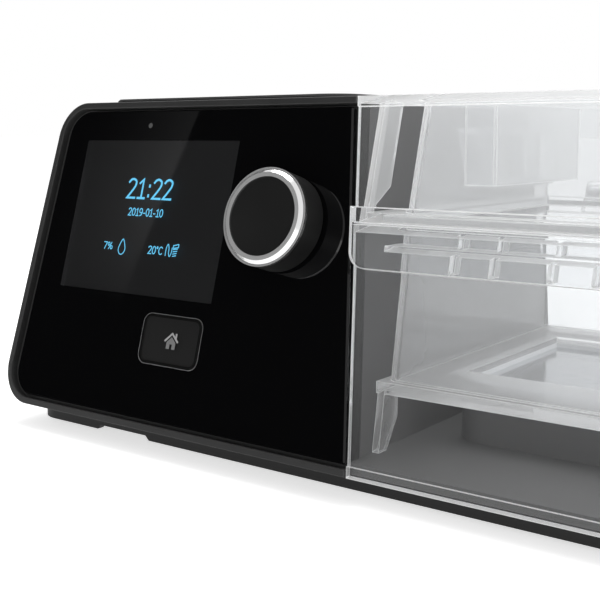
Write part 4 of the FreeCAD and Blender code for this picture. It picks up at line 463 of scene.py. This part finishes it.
def node_finishes():
    """Each material with the names of the nodes that wear it."""
    return (
        (moulded("case_matt_black", MATT_BLACK, 0.6, specular=0.2),
         ("top_cover", "top_panel", "filter_cap", "outlet_port")),
        (moulded("rim_satin_black", RIM_BLACK, 0.42, specular=0.4), ("front_bezel",)),
        (moulded("base_matt_black", BASE_BLACK, 0.55, specular=0.3), ("lower_case",)),
        (moulded("bay_satin_grey", BAY_GREY, 0.5, grain=0.000006, patches=0.04),
         ("bay_liner",)),
        (moulded("housing_grey", HOUSING_GREY, 0.5),
         ("outlet_duct", "blower_duct", "blower_lower", "blower_upper", "filter_tray")),
        (moulded("component_black", COMPONENT_BLACK, 0.4),
         ("encoder_body", "button_switch", "dc_inlet")),
        (moulded("wheel_white", WHEEL_WHITE, 0.35), ("impeller",)),
        (moulded("knob_soft_black", KNOB_BLACK, 0.33, grain=FINE_GRAIN), ("knob",)),
        (moulded("black_rubber", RUBBER_BLACK, 0.8, grain=0.00006, grain_scale=1500.0),
         ("rubber_feet", "card_cover")),
        (clear_plastic("clear_tub", veil=0.14, side_veil=0.0, painted_glow=0.0),
         ("chamber_tub",)),
        # The lid's upright walls get a painted glow.
        (clear_plastic("clear_lid", veil=0.18, side_veil=0.1, painted_glow=0.15),
         ("chamber_lid",)),
        (circuit_board(), ("control_board", "main_board")),
        (metal("polished_steel", POLISHED_STEEL, 0.14, STREAKS_ALONG_X, streak=0.05,
               grain=0.03),
         ("chamber_plate",)),
        (metal("brushed_steel", STEEL, 0.28, STREAKS_ALONG_X),
         ("hinge_pins", "board_screws", "knob_shaft", "encoder_rotor", "card_socket")),
        (metal("anodised_alloy", ALLOY, 0.35, STREAKS_ALONG_Y),
         ("heater_plate", "blower_motor")),
        (chrome_ring(), ("knob_ring",)),
        (moulded("key_satin_black", KEY_BLACK, 0.4, grain=FINE_GRAIN, specular=0.25),
         ("home_button",)),
        (moulded("sensor_lens", LENS_GREY, 0.2, grain=FINE_GRAIN), ("light_sensor",)),
        (silicone(),
         ("lid_gasket", "plate_seal", "blower_port_seal", "outlet_port_seal",
          "blower_mounts")),
        (gloss_black(), ("front_panel",)),
        (smoked_window(), ("screen_window",)),
        (display_face(), ("display_module",)),
        (soft_fibre("filter_felt", FELT_WHITE, 900.0), ("inlet_filter",)),
        (soft_fibre("muffler_foam_grey", FOAM_GREY, 500.0), ("muffler_foam",)),
    )


def dress_nodes():
    for material, names in node_finishes():
        for name in names:
            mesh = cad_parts[name].data
            mesh.materials.clear()
            mesh.materials.append(material)


SOFT_EDGES = {"front_bezel": 0.25, "home_button": 0.12, "top_cover": 0.2}
WELD_WITHIN = 0.000002
SHARP_FROM = math.radians(40)


def soften_edges():
    """Small rounds on the sharp corners that moulding leaves on the outside pieces."""
    for name, width in SOFT_EDGES.items():
        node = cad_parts[name]
        weld = node.modifiers.new("weld", "WELD")
        weld.merge_threshold = WELD_WITHIN
        bevel = node.modifiers.new("bevel", "BEVEL")
        bevel.width = width * MM
        bevel.segments = 2
        bevel.limit_method = "ANGLE"
        bevel.angle_limit = SHARP_FROM
        bevel.use_clamp_overlap = True


# ---- small pieces --------------------------------------------------------------------

# The screen's top left corner on the panel: across from the middle, and up the slope.
SCREEN_LEFT = -113.5
SCREEN_TOP = 103.2


def on_screen(u, v, out):
    """A place that is u right of and v below the screen's top left corner, and out from the
    panel's face, all in millimetres."""
    foot = Vector((0, PANEL_AT_TABLE, 0))
    return (foot + ACROSS * ((SCREEN_LEFT + u) * MM) + PANEL_UP * ((SCREEN_TOP - v) * MM)
            + PANEL_OUT * (out * MM))


def settle(piece, material, body, place):
    """Gives a flat piece its material, turns it onto the panel and puts it on its body."""
    piece.data.materials.clear()
    piece.data.materials.append(material)
    piece.matrix_world = Matrix.Translation(place) @ PANEL_TURN.to_4x4()
    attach(piece, body)


def smooth(points, closed=False, steps=6):
    """Points on a smooth line (a Catmull-Rom spline) through the given ones."""
    count = len(points)
    found = []
    for start in range(count if closed else count - 1):
        near = [start + k for k in (-1, 0, 1, 2)]
        pick = [points[k % count] if closed else points[min(max(k, 0), count - 1)]
                for k in near]
        for step in range(steps):
            t = step / steps
            found.append(tuple(
                0.5 * (2 * b + (c - a) * t + (2 * a - 5 * b + 4 * c - d) * t * t
                       + (3 * b - a - 3 * c + d) * t ** 3)
                for a, b, c, d in zip(*pick)))
    if not closed:
        found.append(points[-1])
    return found


def ring(cx, cy, rx, ry, count=20):
    """Points round an ellipse."""
    return [(cx + rx * math.cos(math.tau * k / count), cy + ry * math.sin(math.tau * k / count))
            for k in range(count)]


# Each figure's width and strokes in a box one high; a second entry of True closes a stroke.
# The d stands for the degree sign.
FIGURES = {
    "0": (0.56, [(ring(0.28, 0.5, 0.23, 0.46), True)]),
    "1": (0.50, [([(0.08, 0.76), (0.28, 0.95), (0.28, 0.04)], False),
                 ([(0.06, 0.04), (0.48, 0.04)], False)]),
    "2": (0.56, [(smooth([(0.05, 0.80), (0.16, 0.93), (0.31, 0.96), (0.46, 0.86), (0.47, 0.68),
                          (0.36, 0.46), (0.06, 0.04)]) + [(0.53, 0.04)], False)]),
    "7": (0.54, [([(0.04, 0.96), (0.50, 0.96), (0.20, 0.02)], False)]),
    "9": (0.56, [(ring(0.28, 0.68, 0.22, 0.28), True),
                 (smooth([(0.50, 0.68), (0.49, 0.42), (0.38, 0.16), (0.14, 0.04)]), False)]),
    "-": (0.40, [([(0.06, 0.38), (0.34, 0.38)], False)]),
    ":": (0.26, [([(0.13, 0.12), (0.13, 0.21)], False), ([(0.13, 0.60), (0.13, 0.69)], False)]),
    "%": (0.86, [(ring(0.20, 0.72, 0.14, 0.22, 12), True),
                 (ring(0.64, 0.26, 0.14, 0.22, 12), True),
                 ([(0.62, 0.96), (0.22, 0.02)], False)]),
    "d": (0.30, [(ring(0.13, 0.84, 0.09, 0.11, 10), True)]),
    "C": (0.60, [(smooth([(0.54, 0.82), (0.38, 0.95), (0.18, 0.88), (0.06, 0.62), (0.06, 0.36),
                          (0.18, 0.11), (0.38, 0.04), (0.54, 0.16)]), False)]),
}
FIGURE_GAP = 0.06

STROKE_THICK = 0.02 * MM
STROKE_RUN_ON = 0.3
SHARPEST_MITRE = 0.5
NO_LENGTH = 1e-6


def across_stroke(points, k, closed, width):
    """The two sides of a stroke of one width at its point k."""
    count = len(points)
    x, y = points[k]
    back = points[k - 1] if closed or k else points[k]
    ahead = points[(k + 1) % count] if closed or k < count - 1 else points[k]
    one = Vector((x - back[0], y - back[1])).normalized()
    two = Vector((ahead[0] - x, ahead[1] - y)).normalized()
    way = (one + two).normalized() if (one + two).length > NO_LENGTH else two
    across = Vector((-way.y, way.x))
    slant = across.dot(Vector((-two.y, two.x))) if two.length else 1.0
    reach = width / 2 / max(SHARPEST_MITRE, slant)
    if not closed and k in (0, count - 1):
        shift = way * width * (STROKE_RUN_ON if k else -STROKE_RUN_ON)
        x, y = x + shift.x, y + shift.y
        reach = width / 2
    return [(x + across.x * reach, y + across.y * reach),
            (x - across.x * reach, y - across.y * reach)]


def stroke_mesh(name, strokes, width):
    """Flat raised lines of one width along the strokes, in millimetres."""
    grid = bmesh.new()
    for points, closed in strokes:
        count = len(points)
        rails = []
        for k in range(count):
            sides = across_stroke(points, k, closed, width)
            rails.append([grid.verts.new((a * MM, b * MM, level))
                          for level in (0, STROKE_THICK) for a, b in sides])
        for k in range(count if closed else count - 1):
            a, b = rails[k], rails[(k + 1) % count]
            for p, q in ((2, 3), (1, 0), (0, 2), (3, 1)):
                grid.faces.new((a[p], a[q], b[q], b[p]))
        if not closed:
            for end, turn in ((rails[0], 1), (rails[-1], -1)):
                grid.faces.new([end[k] for k in (0, 1, 3, 2)][::turn])
    return piece_from(name, grid)


PRINT_THICK = 0.03 * MM


def plate(name, outline):
    """A flat raised shape from a closed outline in millimetres."""
    grid = bmesh.new()
    low = [grid.verts.new((x * MM, y * MM, 0)) for x, y in outline]
    high = [grid.verts.new((x * MM, y * MM, PRINT_THICK)) for x, y in outline]
    grid.faces.new(high)
    grid.faces.new(low[::-1])
    for k in range(len(outline)):
        after = (k + 1) % len(outline)
        grid.faces.new((low[k], low[after], high[after], high[k]))
    return piece_from(name, grid)


def piece_from(name, grid):
    bmesh.ops.recalc_face_normals(grid, faces=grid.faces)
    mesh = bpy.data.meshes.new(name)
    grid.to_mesh(mesh)
    grid.free()
    piece = bpy.data.objects.new(name, mesh)
    bpy.context.collection.objects.link(piece)
    return piece


# ---- the screen ----------------------------------------------------------------------

DIGIT_BLUE = (0.155, 0.66, 1.0)
DIGIT_GLOW = 1.1
DIGITS_OUT = -1.05

# Each line of figures: its name, its text, the left, right, top and bottom of its box on
# the screen, and the width of its strokes as a share of its height.
SCREEN_FIGURES = (
    ("screen_clock", "21:22", 22.9, 44.1, 13.1, 20.2, 0.11),
    ("screen_date", "2019-01-10", 25.4, 41.6, 23.4, 26.1, 0.13),
    ("screen_humidity", "7%", 16.6, 21.1, 35.7, 38.2, 0.13),
    ("screen_warmth", "20dC", 37.9, 44.5, 35.9, 38.6, 0.13),
)

# The signs beside the figures, in millimetres about their own middles: the drop, and the
# hose with its cuff and coils. Then the place of each and the width of its lines.
DROP = (
    (0, 2.6), (1.35, 0.2), (1.5, -1.3), (0.75, -2.4), (0, -2.65), (-0.75, -2.4), (-1.5, -1.3),
    (-1.35, 0.2))
DROP_U, DROP_V, DROP_LINE = 25.5, 37.0, 0.34
HOSE = (
    (-2.6, -1.9), (-2.6, 0.6), (-2.0, 1.9), (-1.4, 0.6), (-1.3, -0.9), (-0.7, -2.1),
    (-0.1, -0.9), (0.0, 0.9))
CUFF = ((0.4, 1.6), (2.6, 2.1), (2.7, 1.1), (0.6, 0.7))
COILS = tuple(((0.5 + 0.05 * k, 0.3 - 0.75 * k), (2.4 - 0.1 * k, 0.6 - 0.75 * k))
              for k in range(4))
HOSE_U, HOSE_V, HOSE_LINE = 48.6, 36.8, 0.32


def figure_strokes(text, wide, tall):
    """The strokes of generic figures that fill a box of the given size."""
    advance = 0.0
    strokes = []
    for letter in text:
        width, lines = FIGURES[letter]
        strokes += [([(advance + x, y) for x, y in points], closed) for points, closed in lines]
        advance += width + FIGURE_GAP
    reach = wide / (advance - FIGURE_GAP)
    return [([(x * reach, y * tall) for x, y in points], closed) for points, closed in strokes]


def on_display(name, strokes, u, v, width, material):
    settle(stroke_mesh(name, strokes, width), material, "machine",
           on_screen(u, v, DIGITS_OUT))


def screen_contents():
    """The clock, date, humidity and temperature, with a drop and a hose beside the last two."""
    blue = glowing("screen_blue", DIGIT_BLUE, DIGIT_GLOW)
    for name, text, left, right, top, bottom, weight in SCREEN_FIGURES:
        tall = bottom - top
        on_display(name, figure_strokes(text, right - left, tall), left, bottom,
                   weight * tall, blue)
    on_display("screen_drop", [(smooth(DROP, True, 5), True)], DROP_U, DROP_V, DROP_LINE, blue)
    hose = [(smooth(HOSE), False), (CUFF, True)] + [(coil, False) for coil in COILS]
    on_display("screen_hose", hose, HOSE_U, HOSE_V, HOSE_LINE, blue)


# ---- the home key --------------------------------------------------------------------

# How far the key's face stands out of the panel, its middle, size and corners, and then a
# black line of painted shade on the bevel inside its edge and a metal line of painted
# highlight on the edge of the opening outside it.
KEY_OUT = 0.32
KEY_U, KEY_V = 55.9, 65.98
KEY_WIDE, KEY_TALL, KEY_CORNER = 24.6, 15.4, 2.8
CORNER_STEPS = 6
SHADE_LINE_INSIDE, SHADE_LINE_WIDE, SHADE_LINE_BELOW = 0.33, 0.6, 0.01
EDGE_OUTSIDE, EDGE_WIDE, EDGE_OUT = 0.45, 0.13, 0.005

# The grey of the metal line of painted highlight round the key's opening.
EDGE_HIGHLIGHT_GREY = (0.55, 0.55, 0.56)

HOUSE_GREY = (0.2, 0.2, 0.2)
ROOF_GREY = (0.42, 0.42, 0.42)
HOUSE_U, HOUSE_V = 56.8, 66.0
HOUSE_WALLS = (
    (-1.9, -0.35), (-1.9, -2.5), (-0.5, -2.5), (-0.5, -0.95), (0.5, -0.95), (0.5, -2.5),
    (1.9, -2.5), (1.9, -0.35), (0, 1.35))
HOUSE_ROOF = (
    (-3.05, 0.05), (-2.6, -0.4), (0, 2.05), (2.6, -0.4), (3.05, 0.05), (2.1, 0.95), (2.1, 2.6),
    (1.4, 2.6), (1.4, 1.6), (0, 2.85))


def house_icon():
    """The grey house on the home key: walls with a doorway, a roof line and a chimney."""
    for name, outline, print_name, colour in (
            ("home_house", HOUSE_WALLS, "key_print_grey", HOUSE_GREY),
            ("home_roof", HOUSE_ROOF, "roof_print_grey", ROOF_GREY)):
        settle(plate(name, outline), moulded(print_name, colour, 0.5), "home_key",
               on_screen(HOUSE_U, HOUSE_V, KEY_OUT))


def key_frame(outside):
    """A closed line round the key, the given distance outside its edge."""
    wide, tall, corner = KEY_WIDE / 2 + outside, KEY_TALL / 2 + outside, KEY_CORNER + outside
    points = []
    for quarter, (x, y) in enumerate(((1, 1), (-1, 1), (-1, -1), (1, -1))):
        for step in range(CORNER_STEPS + 1):
            turn = math.radians(90 * quarter + 90 / CORNER_STEPS * step)
            points.append((x * (wide - corner) + corner * math.cos(turn),
                           y * (tall - corner) + corner * math.sin(turn)))
    return [(points, True)]


def key_edges():
    """Painted shade on the bevel round the key's face, and a painted highlight on the opening.
    """
    # A black line of painted shade on the bevel round the key's face.
    painted_shade = moulded("key_bevel_painted_shade", grey(1), 0.6, grain=FINE_GRAIN, specular=0.1)
    bevel = stroke_mesh("key_bevel", key_frame(-SHADE_LINE_INSIDE), SHADE_LINE_WIDE)
    settle(bevel, painted_shade, "home_key",
           on_screen(KEY_U, KEY_V, KEY_OUT - SHADE_LINE_BELOW))
    # A thin metal line of painted highlight round the panel's opening.
    painted_highlight = metal("panel_edge_painted_highlight", EDGE_HIGHLIGHT_GREY, 0.4, NO_STREAKS, streak=0.03)
    edge = stroke_mesh("key_opening_highlight", key_frame(EDGE_OUTSIDE), EDGE_WIDE)
    settle(edge, painted_highlight, "machine", on_screen(KEY_U, KEY_V, EDGE_OUT))


# ---- surroundings --------------------------------------------------------------------

FLOOR_REACH = 40.0
FLOOR_COLOUR = (0.8, 0.8, 0.8)
FLOOR_GLOW = 0.65


def flat_board(name, corners, material):
    mesh = bpy.data.meshes.new(name)
    mesh.from_pydata(corners, [], [tuple(range(len(corners)))])
    mesh.materials.append(material)
    board = bpy.data.objects.new(name, mesh)
    bpy.context.collection.objects.link(board)
    return board


def make_floor():
    """A pale floor that keeps the shadow and is seen as nearly white."""
    nodes = Nodes("floor_white")
    glow = nodes.glow(nodes.times(nodes.looked_at(), FLOOR_GLOW))
    white = nodes.finish(nodes.both(nodes.plain("Diffuse", FLOOR_COLOUR), glow))
    corners = [(x * FLOOR_REACH, y * FLOOR_REACH, 0)
               for x, y in ((-1, -1), (1, -1), (1, 1), (-1, 1))]
    flat_board("floor", corners, white)


def only_in_reflections(board):
    board.visible_camera = False
    board.visible_diffuse = False
    board.visible_transmission = False
    board.visible_volume_scatter = False
    board.visible_shadow = False


FLAG_AIM = Vector((-0.68, -0.69, 0.0)).normalized()
FLAG_AWAY = 1.5
FLAG_REACH = 1.0
FLAG_LOW, FLAG_HIGH = 0.16, 1.35


def make_flag():
    """A black board that the gloss panel mirrors."""
    nodes = Nodes("flag_black")
    black = nodes.finish(nodes.plain("Diffuse", (0.0, 0.0, 0.0)))
    aside = Vector((-FLAG_AIM.y, FLAG_AIM.x, 0.0)) * FLAG_REACH
    centre = FLAG_AIM * FLAG_AWAY
    corners = [centre + aside * x + Vector((0, 0, z)) for x, z in
               ((-1, FLAG_LOW), (1, FLAG_LOW), (1, FLAG_HIGH), (-1, FLAG_HIGH))]
    only_in_reflections(flat_board("flag", corners, black))


# The card whose straight edge shows as the sheen across the screen: that edge between the
# places mirrored at the screen's top and foot, how far the card goes on beyond them, which
# way and how far it reaches, and how it fades from its edge and towards its foot.
SHEEN_TOP = Vector((-0.735, -0.665, 0.510))
SHEEN_FOOT = Vector((-0.7935, -0.719, 0.289))
SHEEN_ABOVE, SHEEN_BELOW = 0.7, 0.5
SHEEN_SIDE = Vector((-0.66, 0.75, 0)).normalized() * 0.36
SHEEN = 0.25
SHEEN_WIDTH = 0.13
SHEEN_TAIL = 0.08
SHEEN_CLIMB = 0.52


def make_sheen():
    """A dim card beside the camera's mirrored view, brightest along its straight edge."""
    nodes = Nodes("sheen_dim")
    rise = SHEEN_TOP - SHEEN_FOOT
    high, foot = SHEEN_TOP + rise * SHEEN_ABOVE, SHEEN_FOOT - rise * SHEEN_BELOW
    inward = (SHEEN_SIDE - SHEEN_SIDE.project(rise)).normalized()
    place = nodes.place()
    gone = nodes.times(nodes.minus(nodes.along(place, inward), foot.dot(inward)),
                       1 / SHEEN_WIDTH, clamp=True)
    fade = nodes.math("POWER", nodes.minus(1.0, gone), 2.0)
    climb = nodes.along(place, rise / rise.length_squared)
    start = SHEEN_FOOT.dot(rise) / rise.length_squared - SHEEN_TAIL
    risen = nodes.times(nodes.minus(climb, start), 1 / SHEEN_CLIMB, clamp=True)
    dim = nodes.finish(nodes.glow(nodes.times(nodes.times(fade, risen), SHEEN)))
    corners = [foot + SHEEN_SIDE, foot, high, high + SHEEN_SIDE]
    only_in_reflections(flat_board("sheen", corners, dim))


WORLD_LIGHT = 0.55
WORLD_SEEN = 1.0


def make_world():
    """Soft light all round, seen as white."""
    world = bpy.data.worlds.new("studio")
    bpy.context.scene.world = world
    nodes = Nodes("studio", world)
    soft, white = (nodes.add("ShaderNodeBackground", Color=(1.0, 1.0, 1.0, 1.0),
                             Strength=strength).outputs["Background"]
                   for strength in (WORLD_LIGHT, WORLD_SEEN))
    output = nodes.add("ShaderNodeOutputWorld")
    nodes.tree.links.new(nodes.mixed(nodes.looked_at(), soft, white), output.inputs["Surface"])


def area_lamp(name, place, aim, size, power):
    """A rectangular softbox: its place, what it is aimed at, its size, and its watts."""
    data = bpy.data.lights.new(name, "AREA")
    data.shape = "RECTANGLE"
    data.size, data.size_y = size
    data.energy = power
    lamp = bpy.data.objects.new(name, data)
    bpy.context.collection.objects.link(lamp)
    lamp.location = place
    lamp.rotation_euler = (Vector(aim) - Vector(place)).to_track_quat("-Z", "Y").to_euler()


def make_lights():
    area_lamp("overhead_softbox", place=(-0.2, 0.3, 1.1), aim=(0, 0, 0.05), size=(0.9, 0.7),
              power=9.0)
    area_lamp("side_softbox", place=(1.0, 0.2, 0.6), aim=(0, 0, 0.05), size=(0.6, 0.6),
              power=3.0)
    area_lamp("front_fill", place=(0.5, -0.9, 0.12), aim=(0.05, 0, 0.05), size=(0.5, 0.3),
              power=1.3)


def main():
    make_camera()
    dress_nodes()
    soften_edges()
    screen_contents()
    house_icon()
    key_edges()
    make_floor()
    make_flag()
    make_sheen()
    make_world()
    make_lights()
    bpy.context.scene.view_settings.view_transform = "Standard"


main()
